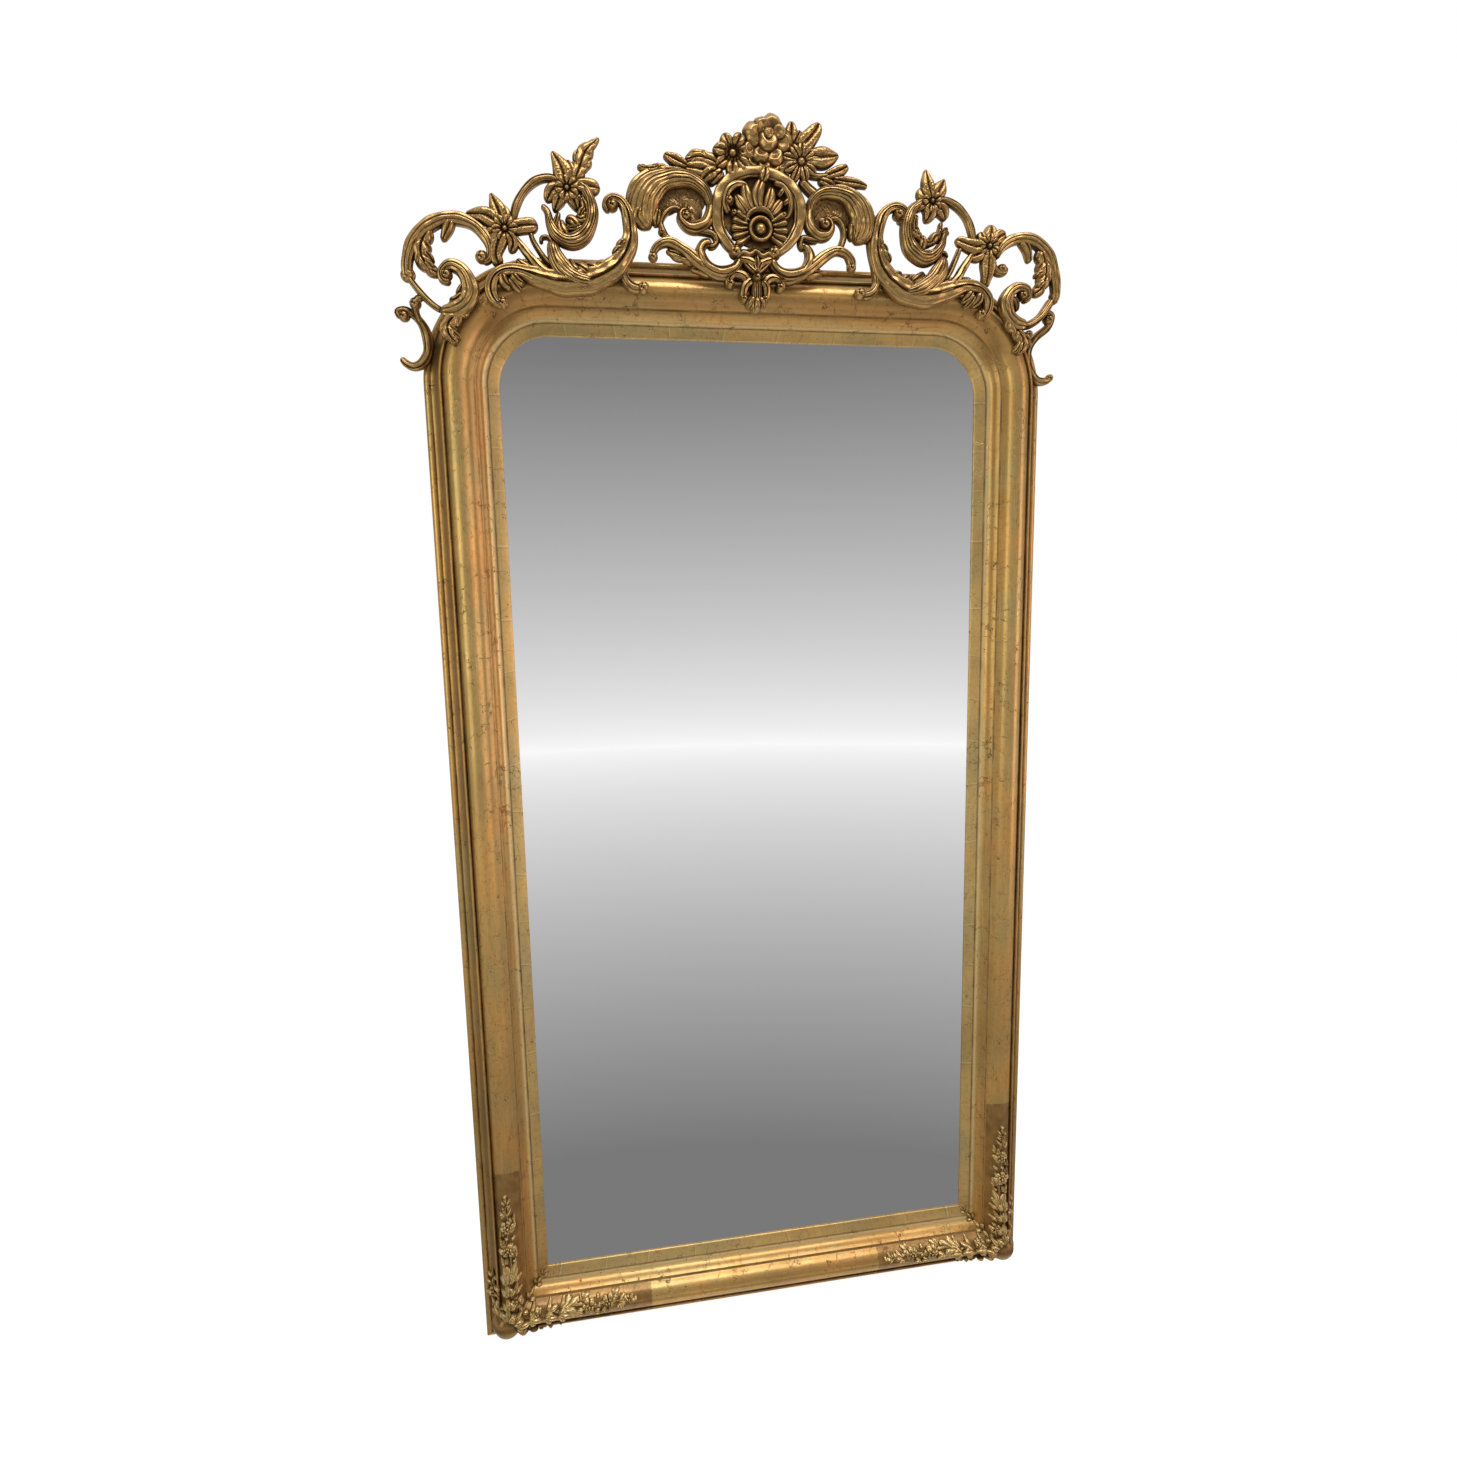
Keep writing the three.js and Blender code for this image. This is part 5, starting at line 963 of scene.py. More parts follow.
# %% Lines of the crest: left wing and corner
LEFT_OF_CREST = {
    "wing_left": {
        "scroll": [
            [(-205, 153, 8, 11), (-209, 162, 11, 12), (-202, 171, 12, 13), (-190, 169, 13, 13), (-181, 157, 16, 14),
             (-177, 139, 19, 15), (-177, 119, 23, 16), (-184, 99, 26, 17), (-199, 80, 30, 18), (-222, 66, 34, 18),
             (-250, 58, 36, 18), (-280, 58, 34, 18), (-308, 64, 26, 16), (-334, 71, 18, 15), (-354, 69, 16, 15),
             (-368, 57, 17, 15), (-371, 41, 17, 14), (-364, 28, 14, 13), (-354, 26, 9, 11)],
            [(-276, 58, 10, 13, 2), (-292, 66, 13, 14, 2), (-306, 78, 13, 14, 1), (-318, 92, 11, 13),
             (-329, 106, 9, 11), (-336, 116, 8, 10)]],
        "band": [[(-232, 58, 16, 12, 6), (-252, 62, 22, 14, 6), (-270, 73, 25, 15, 5), (-280, 88, 24, 15, 4),
                  (-284, 103, 17, 14, 3), (-283, 112, 10, 11, 2)]],
        "round": [
            [(-284, 106, 6, 11), (-291, 116, 6, 11), (-299, 115, 6, 10), (-300, 108, 5, 9)],
            [(-282, 74, 8, 11, 1), (-295, 87, 8, 11), (-303, 98, 8, 10), (-311, 112, 7, 10), (-314, 122, 7, 9)],
            [(-183, 100, 12, 12), (-189, 82, 13, 13), (-186, 66, 14, 13), (-175, 55, 14, 13), (-162, 54, 11, 11)]],
        "lobe": [
            [(-184, 116, 10, 16, 2), (-192, 109, 12, 15, 1), (-194, 104, 7, 10)],
            [(-188, 106, 11, 16, 2), (-197, 101, 12, 15, 1), (-201, 96, 7, 10)],
            [(-206, 78, 11, 14, 3), (-217, 83, 13, 13, 2), (-229, 82, 7, 9)],
            [(-220, 72, 11, 14, 4), (-231, 79, 13, 13, 3), (-241, 82, 7, 9)],
            [(-236, 70, 12, 15, 4), (-247, 78, 14, 14, 3), (-257, 84, 7, 9)],
            [(-250, 70, 12, 15, 4), (-259, 78, 13, 14, 3), (-263, 90, 7, 9)],
            [(-286, 60, 10, 12, 2), (-308, 68, 13, 13, 2), (-324, 77, 12, 12, 1), (-335, 86, 7, 9)],
            [(-356, 66, 12, 14, 3), (-352, 53, 14, 14, 2), (-342, 47, 9, 10, 1)],
            [(-342, 66, 12, 13, 3), (-335, 57, 13, 13, 2), (-325, 53, 8, 9, 1)],
            [(-346, 60, 10, 12, 4), (-338, 50, 11, 12, 2), (-330, 43, 7, 9, 1)]],
        "eye": [(-200, 161, 8, 19), (-160, 55, 9, 15), (-356, 28, 8, 16)],
    },
    "ring_scroll_left": {
        "band": [[(-252, 188, 10, 12), (-238, 180, 15, 14), (-230, 162, 17, 16), (-230, 142, 19, 17),
                  (-240, 122, 22, 18), (-259, 112, 23, 18), (-276, 118, 19, 16), (-286, 134, 14, 14),
                  (-290, 150, 9, 12), (-297, 158, 6, 9)]],
        "round": [[(-336, 122, 9, 11), (-336, 138, 10, 11), (-331, 156, 11, 12), (-320, 174, 11, 12),
                   (-304, 188, 11, 12), (-286, 193, 11, 12), (-270, 188, 10, 11), (-262, 180, 9, 10)]],
        "leaf": [[(-244, 172, 9, 13, 1), (-238, 156, 12, 14, 1), (-238, 142, 12, 14, 1), (-246, 131, 11, 14, 1),
                  (-258, 128, 10, 13, 1), (-268, 134, 7, 10)]],
        "lobe": [
            [(-248, 128, 12, 15, 2), (-257, 139, 15, 15, 2), (-266, 140, 9, 11, 1)],
            [(-236, 144, 12, 15, 2), (-245, 140, 13, 14, 2), (-252, 146, 8, 10, 1)],
            [(-264, 116, 12, 15, 2), (-271, 128, 14, 14, 2), (-272, 140, 8, 10, 1)],
            [(-238, 156, 8, 13, 2), (-245, 148, 9, 13, 2), (-246, 142, 6, 10, 1)],
            [(-282, 128, 9, 13, 1), (-277, 140, 9, 12, 1), (-274, 150, 6, 9)]],
    },
    "corner_scroll_left": {
        "scroll": [[(-480, 54, 12, 13), (-480, 74, 15, 14), (-472, 98, 18, 15), (-456, 118, 19, 16),
                    (-434, 131, 18, 16), (-410, 134, 17, 15), (-389, 127, 15, 14), (-374, 112, 14, 13),
                    (-369, 97, 12, 13), (-372, 84, 10, 12), (-380, 80, 8, 11)]],
        "round": [[(-480, 58, 9, 11), (-470, 44, 9, 11), (-459, 31, 9, 11), (-446, 20, 9, 10), (-438, 16, 8, 9)]],
        "leaf": [[(-446, 120, 16, 15, 1), (-458, 102, 24, 16, 1), (-460, 84, 24, 16, 1), (-451, 69, 18, 14),
                  (-437, 61, 9, 10)]],
        "lobe": [
            [(-456, 90, 9, 14, 2), (-449, 82, 10, 13, 2), (-446, 76, 6, 9)],
            [(-456, 78, 9, 14, 2), (-448, 70, 10, 13, 2), (-443, 67, 6, 9)],
            [(-418, 134, 14, 14, 1), (-424, 120, 15, 14, 1), (-432, 105, 9, 10)]],
        "eye": [(-381, 87, 9, 15), (-480, 60, 10, 14)],
    },
    "small_scroll_left": {
        "scroll": [[(-424, 53, 9, 12), (-434, 55, 11, 13), (-435, 65, 13, 14), (-424, 74, 15, 15), (-410, 69, 18, 16),
                    (-401, 55, 22, 17), (-399, 39, 24, 17), (-407, 24, 24, 17), (-423, 15, 21, 16),
                    (-441, 14, 15, 13)]],
        "leaf": [[(-403, 24, 16, 14), (-420, 9, 22, 15), (-431, -4, 22, 15), (-430, -17, 18, 13),
                  (-421, -27, 9, 10)]],
        "lobe": [
            [(-407, 50, 9, 15, 1), (-413, 40, 10, 14, 1), (-418, 36, 6, 10)],
            [(-408, 38, 9, 15, 1), (-418, 30, 11, 14, 1), (-428, 29, 7, 10)],
            [(-432, -4, 8, 13), (-424, -14, 9, 12), (-416, -20, 6, 9)]],
        "eye": [(-429, 62, 8, 17)],
    },
    "tail_left": {
        "round": [
            [(-496, 8, 8, 10, -14), (-499, 16, 9, 11, -14), (-489, 19, 10, 12, -16), (-476, 12, 11, 12, -20),
             (-467, 0, 13, 13, -26), (-463, -18, 15, 14, -32), (-465, -34, 14, 14, -33), (-474, -47, 13, 13, -33),
             (-486, -51, 12, 12, -33), (-497, -45, 10, 10, -33), (-501, -39, 7, 9, -33)],
            [(-470, 2, 11, 12, -22), (-475, 18, 10, 12, -12), (-470, 30, 10, 12, -4), (-462, 32, 8, 10, 0)]],
        "eye": [(-491, 12, 8, 16, -18), (-474, 26, 8, 16, -9)],
    },
}

# %% Lines of the crest: right wing and corner
RIGHT_OF_CREST = {
    "wing_right": {
        "scroll": [
            [(219, 160, 8, 11), (228, 165, 11, 12), (228, 176, 12, 13), (217, 181, 13, 13), (204, 177, 14, 14),
             (194, 166, 16, 14), (188, 148, 18, 15), (185, 128, 21, 16), (187, 107, 25, 17), (199, 85, 30, 18),
             (220, 68, 34, 18), (246, 59, 36, 18), (274, 60, 34, 18), (302, 68, 27, 17), (328, 75, 20, 15),
             (348, 72, 17, 15), (361, 60, 17, 15), (364, 46, 15, 14), (358, 34, 12, 12), (350, 33, 8, 10)],
            [(280, 62, 10, 13, 2), (298, 70, 13, 14, 2), (312, 84, 13, 14, 1), (322, 99, 11, 13), (331, 112, 10, 11),
             (338, 122, 8, 10)]],
        "band": [[(230, 60, 16, 12, 6), (250, 65, 23, 14, 6), (270, 77, 27, 15, 5), (283, 92, 25, 15, 4),
                  (288, 107, 18, 14, 3), (287, 116, 10, 11, 2)]],
        "round": [
            [(288, 110, 6, 11), (286, 119, 6, 11), (293, 121, 6, 10), (298, 114, 5, 9)],
            [(292, 80, 8, 11, 1), (301, 92, 8, 11), (308, 106, 8, 10), (315, 122, 8, 10), (318, 130, 7, 9)],
            [(176, 134, 11, 12), (180, 110, 12, 13), (186, 88, 13, 13), (187, 72, 14, 13), (177, 59, 14, 13),
             (163, 56, 11, 11)]],
        "leaf": [
            [(184, 142, 12, 14, 1), (190, 126, 18, 15, 1), (196, 110, 19, 15, 1), (203, 99, 12, 12)],
            [(290, 62, 12, 12, 1), (308, 70, 20, 13, 1), (324, 78, 20, 13, 1), (337, 86, 10, 9)]],
        "lobe": [
            [(190, 128, 10, 16, 2), (198, 119, 11, 15, 1), (201, 113, 7, 10)],
            [(194, 116, 10, 16, 2), (203, 108, 12, 15, 1), (207, 102, 7, 10)],
            [(208, 84, 11, 14, 4), (219, 86, 12, 13, 3), (227, 89, 7, 9)],
            [(222, 76, 11, 14, 4), (233, 82, 12, 13, 3), (240, 86, 7, 9)],
            [(238, 74, 12, 14, 4), (250, 82, 14, 14, 3), (262, 92, 8, 9)],
            [(350, 66, 12, 14, 3), (346, 53, 14, 14, 2), (337, 46, 9, 10, 1)],
            [(336, 68, 12, 13, 3), (330, 58, 13, 13, 2), (321, 53, 8, 9, 1)],
            [(340, 62, 10, 12, 4), (333, 51, 11, 12, 2), (326, 44, 7, 9, 1)]],
        "eye": [(219, 170, 8, 19), (161, 59, 9, 15), (353, 36, 8, 16)],
    },
    "ring_scroll_right": {
        "band": [[(258, 190, 10, 12), (242, 180, 15, 14), (233, 162, 17, 16), (232, 142, 19, 17), (240, 122, 22, 18),
                  (258, 111, 23, 18), (275, 116, 19, 16), (287, 131, 13, 14), (292, 146, 9, 12), (300, 150, 6, 9)]],
        "round": [[(264, 184, 9, 10), (274, 191, 10, 11), (292, 194, 11, 12), (311, 187, 11, 12), (327, 171, 11, 12),
                   (336, 152, 11, 12), (338, 136, 10, 11), (337, 124, 8, 10)]],
        "leaf": [[(246, 172, 9, 13, 1), (244, 154, 12, 14, 1), (251, 139, 13, 14, 1), (264, 132, 12, 14, 1),
                  (277, 138, 10, 13, 1), (285, 152, 8, 11), (287, 164, 6, 9)]],
        "lobe": [
            [(268, 130, 12, 15, 2), (276, 141, 14, 15, 2), (286, 142, 8, 10, 1)],
            [(238, 148, 12, 15, 2), (248, 142, 13, 14, 2), (255, 148, 8, 10, 1)],
            [(252, 120, 12, 15, 2), (257, 133, 14, 14, 2), (255, 144, 8, 10, 1)],
            [(284, 146, 8, 13, 1), (292, 152, 8, 12, 1), (298, 156, 5, 8)]],
    },
    "corner_scroll_right": {
        "scroll": [[(374, 116, 9, 12), (384, 132, 13, 14), (400, 143, 16, 15), (420, 146, 17, 16), (441, 141, 18, 16),
                    (459, 125, 18, 16), (469, 103, 17, 15), (474, 82, 15, 14), (474, 64, 13, 13), (471, 54, 9, 11)]],
        "round": [[(470, 62, 11, 12), (460, 46, 12, 12), (446, 31, 12, 12), (428, 22, 11, 12), (414, 22, 9, 11)]],
        "leaf": [[(444, 132, 16, 15, 1), (452, 114, 24, 16, 1), (455, 94, 24, 16, 1), (448, 75, 18, 14),
                  (436, 66, 9, 10)]],
        "lobe": [
            [(452, 100, 9, 14, 2), (444, 96, 9, 13, 2), (440, 92, 6, 9)],
            [(454, 88, 9, 14, 2), (446, 80, 10, 13, 2), (441, 76, 6, 9)],
            [(414, 145, 14, 14, 1), (425, 131, 15, 14, 1), (431, 113, 9, 10)]],
        "eye": [(474, 66, 8, 14)],
    },
    "small_scroll_right": {
        "scroll": [[(421, 57, 9, 12), (429, 62, 11, 13), (426, 73, 13, 14), (412, 76, 15, 15), (399, 69, 18, 16),
                    (392, 54, 21, 17), (396, 37, 21, 17), (409, 25, 20, 16), (428, 21, 16, 14)]],
        "leaf": [[(390, 48, 14, 14), (402, 24, 19, 15), (416, 8, 20, 14), (422, -7, 18, 13), (416, -21, 9, 10)]],
        "lobe": [
            [(398, 62, 9, 15, 1), (408, 54, 11, 14, 1), (412, 42, 7, 10)],
            [(418, -2, 8, 13), (413, -13, 10, 12), (408, -18, 6, 9)],
            [(416, 8, 8, 12), (428, 8, 9, 12), (436, 3, 6, 9)]],
        "eye": [(420, 65, 8, 17), (434, 10, 6, 12)],
    },
    "tail_right": {
        "round": [
            [(462, 44, 8, 10, 0), (472, 38, 10, 12, -4), (470, 24, 11, 12, -10), (457, 12, 12, 12, -20),
             (447, -2, 14, 14, -26), (446, -20, 15, 14, -32), (453, -38, 15, 14, -33), (467, -51, 13, 13, -33),
             (482, -51, 12, 12, -33), (491, -45, 8, 9, -33)],
            [(448, -6, 12, 12, -22), (438, 2, 11, 12, -12), (430, 10, 9, 11, -4)]],
        "eye": [(468, 34, 8, 15, -6), (489, -46, 6, 12, -33)],
    },
}
CREST = {**MIDDLE_OF_CREST, **LEFT_OF_CREST, **RIGHT_OF_CREST}

# %% [markdown]
# ## The bouquet and the side flowers
# Above the cartouche stands a bunch of flowers: a full rose between two daisies, with leaves
# on both sides. Two smaller flowers stand on each wing, each in a tuft of pointed leaves.

# %% Lines of the flowers and their leaves
FLOWERS = {
    "spray_left": {
        "leaf": [[(-48, 222, 14, 12), (-66, 229, 23, 14), (-84, 230, 19, 13), (-96, 226, 7, 9)]],
        "petal": [
            [(-54, 212, 14, 12), (-78, 215, 23, 13), (-98, 218, 10, 9)],
            [(-50, 214, 15, 14, 2), (-64, 208, 18, 14, 2), (-75, 197, 9, 10, 1)],
            [(-42, 214, 13, 13, 1), (-54, 205, 15, 13, 1), (-62, 196, 8, 9)],
            [(-92, 218, 10, 11), (-110, 225, 17, 13), (-126, 233, 9, 9)]],
        "lobe": [[(-70, 234, 10, 12, 2), (-84, 236, 10, 11, 1), (-93, 231, 6, 8)]],
    },
    "spray_right": {
        "round": [[(76, 218, 9, 11), (98, 216, 9, 11), (114, 218, 8, 10)]],
        "petal": [
            [(68, 250, 18, 13), (84, 265, 26, 15), (95, 279, 18, 12), (99, 288, 6, 8)],
            [(76, 240, 18, 13), (100, 240, 30, 15), (118, 243, 20, 12), (129, 246, 5, 7)],
            [(54, 256, 14, 13), (57, 272, 18, 14), (58, 287, 8, 9)],
            [(106, 216, 10, 11), (126, 223, 17, 13), (143, 232, 8, 9)],
            [(98, 212, 10, 10), (112, 206, 15, 12), (128, 200, 7, 8)],
            [(118, 212, 9, 11), (142, 210, 16, 12), (158, 209, 12, 11), (172, 206, 6, 8)]],
        "lobe": [
            [(60, 254, 12, 13), (67, 266, 12, 12), (72, 276, 8, 9)],
            [(64, 250, 12, 13), (76, 258, 12, 12), (82, 268, 8, 9)]],
    },
    "daisy_left": {
        "petal": [[(-12, 226, 14, 13), (-18, 216, 16, 13), (-30, 212, 10, 10)]],
        "bloom": [{"at": (-29, 237), "radius": 30, "petals": 7, "thickness": 16, "lift": 2, "turn": 0.2,
                   "heart": 0.25, "beads": 14, "tip": 0.75}],
    },
    "daisy_right": {
        "petal": [[(50, 226, 14, 13), (46, 217, 14, 13), (54, 210, 9, 10)]],
        "bloom": [{"at": (71, 232), "radius": 29, "petals": 9, "thickness": 16, "lift": 2, "turn": 0.1, "heart": 0.24,
                   "tip": 0.7}],
    },
    "upper_flower_left": {
        "leaf": [[(-252, 188, 17, 13), (-243, 208, 23, 13), (-235, 228, 22, 12), (-215, 249, 4, 6)]],
        "petal": [
            [(-262, 184, 20, 13), (-268, 206, 26, 13), (-280, 228, 4, 6)],
            [(-256, 188, 15, 13), (-256, 204, 17, 12), (-260, 218, 5, 7)],
            [(-252, 184, 17, 13), (-234, 184, 22, 13), (-216, 183, 18, 10)],
            [(-268, 182, 15, 12), (-282, 176, 21, 12), (-290, 162, 9, 8)],
            [(-266, 176, 15, 12), (-274, 164, 18, 12), (-280, 150, 6, 8)],
            [(-258, 176, 15, 13), (-252, 163, 17, 12), (-248, 152, 6, 8)]],
        "lobe": [
            [(-246, 212, 9, 11), (-246, 224, 12, 11), (-243, 233, 4, 7)],
            [(-240, 208, 9, 11), (-232, 214, 12, 11), (-228, 221, 5, 7)]],
        "bloom": [{"at": (-262, 179), "radius": 19, "petals": 5, "thickness": 17, "lift": 1, "turn": 0.6,
                   "heart": 0.24, "tip": 0.5}],
    },
    "upper_flower_right": {
        "petal": [
            [(270, 194, 17, 13), (265, 214, 20, 12), (262, 236, 4, 6)],
            [(276, 194, 17, 13), (283, 208, 22, 13), (292, 224, 4, 6)],
            [(264, 192, 16, 13), (257, 200, 20, 12), (253, 210, 8, 8)],
            [(276, 186, 16, 13), (288, 178, 21, 13), (293, 166, 9, 9)],
            [(266, 186, 17, 14), (268, 174, 22, 13), (262, 162, 8, 9)],
            [(262, 188, 15, 12), (252, 184, 17, 12), (246, 176, 7, 8)]],
        "lobe": [[(266, 200, 8, 12), (272, 210, 9, 11), (274, 219, 4, 7)]],
        "bloom": [{"at": (270, 190), "radius": 17, "petals": 5, "thickness": 17, "lift": 1, "turn": 0.5,
                   "heart": 0.24, "tip": 0.5}],
    },
    "lower_flower_left": {
        "petal": [
            [(-349, 128, 17, 13), (-356, 148, 23, 13), (-365, 170, 4, 6)],
            [(-346, 128, 13, 13), (-347, 144, 16, 12), (-353, 157, 5, 7)],
            [(-354, 128, 17, 13), (-374, 140, 24, 13), (-400, 141, 6, 7)],
            [(-342, 124, 17, 13), (-322, 129, 22, 13), (-303, 131, 18, 10)],
            [(-352, 120, 20, 14), (-358, 106, 24, 14), (-362, 90, 17, 12), (-358, 76, 15, 10)],
            [(-344, 118, 15, 13), (-338, 106, 17, 12), (-342, 94, 8, 9)]],
        "lobe": [[(-358, 122, 15, 12), (-370, 116, 17, 12), (-376, 106, 8, 9)]],
        "bloom": [{"at": (-348, 123), "radius": 20, "petals": 6, "thickness": 17, "lift": 1, "turn": 0.1,
                   "heart": 0.24, "tip": 0.5}],
    },
    "lower_flower_right": {
        "round": [[(366, 112, 12, 11), (378, 98, 12, 12), (390, 97, 8, 11), (393, 106, 7, 10)]],
        "petal": [
            [(363, 136, 18, 13), (366, 150, 24, 13), (367, 165, 12, 8)],
            [(358, 134, 16, 13), (352, 145, 17, 12), (350, 154, 8, 8)],
            [(356, 130, 15, 13), (336, 132, 23, 13), (311, 141, 12, 8)],
            [(368, 136, 15, 13), (381, 148, 21, 12), (392, 152, 8, 8)],
            [(356, 126, 16, 14), (344, 120, 22, 13), (332, 116, 9, 9)],
            [(362, 124, 22, 14), (363, 106, 24, 13), (361, 88, 17, 11), (357, 74, 13, 10)]],
        "eye": [(386, 102, 8, 14)],
        "bloom": [{"at": (362, 132), "radius": 19, "petals": 6, "thickness": 17, "lift": 1, "turn": 0.5,
                   "heart": 0.24, "tip": 0.5}],
    },
}


# %% Carve the crest and the flowers
def carved(piece):
    """All the skins of one piece: its runs, its eyes and its flower heads."""
    skins = [carve(kind, points) for kind in RELIEF for points in piece.get(kind, [])]
    skins += [eye(*button) for button in piece.get("eye", [])]
    for head in piece.get("bloom", []):
        skins += flower(**head)
    return skins


for name, piece in {**CREST, **FLOWERS}.items():
    make(f"{name}_carved", carved(piece), [crest_gilding], replaces=[name], smooth=50)
print("crest pieces", len(CREST) + len(FLOWERS))

# %% [markdown]
# ## Rose
# A full rose has no flat petals: they are cupped and wrap one another, each a lump that is
# hollow on the inner side. A few such lumps round a tight heart read as a rose at once.

# %% Rose
def cupped(x, z, across, up, thickness, lift, way, sides=32, rings=14):
    """A wrapped petal: an oval dome, hollowed on the side that faces the heart, and turned to `way`."""
    turn = np.linspace(0, 2 * math.pi, sides, endpoint=False)[None, :]
    share = np.sin(np.linspace(math.pi / 2, 0.05, rings))[:, None]
    u, v = share * np.cos(turn), share * np.sin(turn)
    hollow = np.exp(-((u**2 + (v + 0.38) ** 2) / 0.2))
    lip = 0.12 * np.exp(-(((np.hypot(u, v + 0.38) - 0.72) / 0.16) ** 2))
    high = (1 - share**3) ** 0.5 * (1 - 0.36 * hollow + lip)
    rim = 1 + 0.06 * np.sin(3 * turn + x) + 0.03 * np.sin(7 * turn + z)
    u = np.concatenate([0.9 * u[:1], u]) * rim
    v = np.concatenate([0.9 * v[:1], v]) * rim
    high = np.concatenate([np.zeros((1, sides)), 0.25 + 0.75 * high])
    c, s = math.cos(way - math.pi / 2), math.sin(way - math.pi / 2)
    px = CREST_AT[0] + x + (u * across * c - v * up * s)
    pz = CREST_AT[1] + z + (u * across * s + v * up * c)
    return closed_skin(np.stack([px, WALL - CREST_BACK - lift - high * thickness, pz], -1))


ROSE = [  # across, up, half breadths across and up, thickness, lift, the way it opens
    (28, 278, 17, 15, 18, 2, 1.5), (4, 265, 18, 18, 17, 1, 2.6), (46, 257, 15, 15, 16, 1, 0.3),
    (22, 255, 15, 14, 14, 7, 4.4), (-5, 243, 14, 13, 15, 0, 3.4), (34, 236, 14, 13, 15, 1, 5.3),
    (12, 238, 14, 12, 15, 2, 4.6), (47, 226, 11, 10, 14, 0, 5.6), (17, 225, 11, 10, 13, 0, 4.7),
    (14, 276, 13, 12, 15, 5, 2.0), (38, 268, 12, 11, 14, 7, 0.9), (22, 264, 8, 8, 10, 13, 2.5),
    (0, 228, 10, 9, 12, 0, 4.0), (32, 222, 10, 8, 12, 0, 5.0)]
petals = [cupped(*petal) for petal in ROSE]
petals.append(carve("gouged", [(-20, 232, 20, 9), (4, 232, 24, 10), (30, 230, 24, 10), (58, 228, 20, 9)]))
make("rose_carved", petals, [crest_gilding], replaces=["rose"], smooth=60)

# %% [markdown]
# ## Cartouche, shell and boss
# The middle of the crest is an oval rim round a dished panel. A scallop shell opens from a
# ringed boss, its ribs swelling outwards, with a plume of leaves above and C-scrolls at the
# sides. All of it is shallow and crowded, so it is built up in layers on the panel.

# %% Cartouche panel
PANEL = {"x": 9, "z": 165, "half_width": 54, "half_height": 50, "thick": 5}
BOSS = {"x": 10, "z": 139}
SIDES, RAYS, SUNKEN = 96, 22, 3.4  # points round the panel, rays on it, and how deep its dish is in mm
turn = np.linspace(0, 2 * math.pi, SIDES, endpoint=False)[None, :]
share = np.linspace(1, 0.02, 40)[:, None]
rays = 0.5 * valley(turn / (2 * math.pi) * RAYS, 0.25) * share * (1 - share**8)
forward = np.concatenate([np.zeros((1, SIDES)), PANEL["thick"] - SUNKEN * (1 - share**2) ** 1.5 + rays])
reach = np.concatenate([[[1.0]], share])
grid = np.stack([PANEL["x"] + PANEL["half_width"] * reach * np.cos(turn) + 0 * forward,
                 WALL - CREST_BACK - forward,
                 SIGHT_HIGH + PANEL["z"] + PANEL["half_height"] * reach * np.sin(turn) + 0 * forward], -1)
make("cartouche_panel_dished", [closed_skin(grid)], [crest_gilding], replaces=["cartouche_panel"])

# %% Shell
shell = []
PITCH = 0.29  # radians from one rib to the next
for way in [k * PITCH for k in range(-2, 3)] + [math.pi - k * PITCH for k in range(-2, 3)]:
    shell.append(carve("round", [
        (BOSS["x"] + reach * math.cos(way), BOSS["z"] + reach * math.sin(way), PITCH * reach * full, high,
         PANEL["thick"] - 1)
        for reach, high, full in ((18, 11, 1.0), (26.75, 9, 1.0), (36.75, 10.5, 1.0), (43, 9, 0.8))]))
PLUME = {  # leaves that rise from the hood over the boss to the bud on the rim, and C-scrolls beside them
    "scroll": [[(-36, 158, 8, 11, 3), (-41, 172, 10, 13, 3), (-36, 188, 11, 13, 3), (-24, 197, 11, 13, 3),
                (-11, 196, 8, 11, 3), (-8, 188, 6, 9, 3)]],
    "round": [
        [(-12, 146, 6, 9, 5), (-8, 158, 9, 10, 5), (1, 165, 11, 11, 5), (12, 167, 11, 11, 5), (23, 162, 9, 10, 5),
         (31, 150, 6, 9, 5)],
        [(30, 203, 8, 11, 3), (44, 198, 10, 13, 3), (54, 184, 10, 13, 3), (55, 167, 9, 12, 3), (48, 155, 7, 10, 3),
         (42, 160, 6, 9, 3)]],
    "petal": [[(13, 200, 10, 10, 10), (16, 210, 14, 12, 10), (18, 222, 8, 9, 9)]],
    "lobe": [
        [(-8, 158, 12, 11, 4), (-18, 172, 16, 12, 4), (-26, 184, 11, 10, 4)],
        [(-2, 162, 12, 11, 5), (-9, 180, 17, 12, 5), (-12, 199, 12, 10, 4)],
        [(8, 164, 13, 12, 6), (6, 184, 18, 13, 6), (13, 205, 12, 11, 7)],
        [(17, 163, 12, 11, 5), (24, 180, 16, 12, 5), (27, 197, 11, 10, 4)],
        [(25, 158, 11, 11, 4), (35, 170, 14, 11, 4), (42, 180, 9, 9, 4)],
        [(46, 196, 8, 11, 3), (40, 188, 8, 10, 3), (36, 184, 5, 7, 3)],
        [(54, 182, 8, 11, 3), (47, 176, 8, 10, 3), (43, 174, 5, 7, 3)]],
    "eye": [(-35, 175, 7, 17, 3), (-28, 160, 5, 12, 4), (45, 160, 5, 12, 4)],
}
shell += carved(PLUME)
make("shell_ribbed", shell, [crest_gilding], replaces=["shell"], smooth=60)


# %% Boss
def lathed(profile, x, z, back, sides=48, at=CREST_AT):
    """A turned piece: profile rows are a radius and a height, carried round an axis that points forward."""
    profile = np.array(profile, float)
    turn = np.linspace(0, 2 * math.pi, sides, endpoint=False)[None, :]
    radius, high = profile[:, :1], profile[:, 1:]
    px = at[0] + x + radius * np.cos(turn)
    pz = at[1] + z + radius * np.sin(turn)
    return closed_skin(np.stack([px, WALL - back - high + 0 * px, pz], -1))


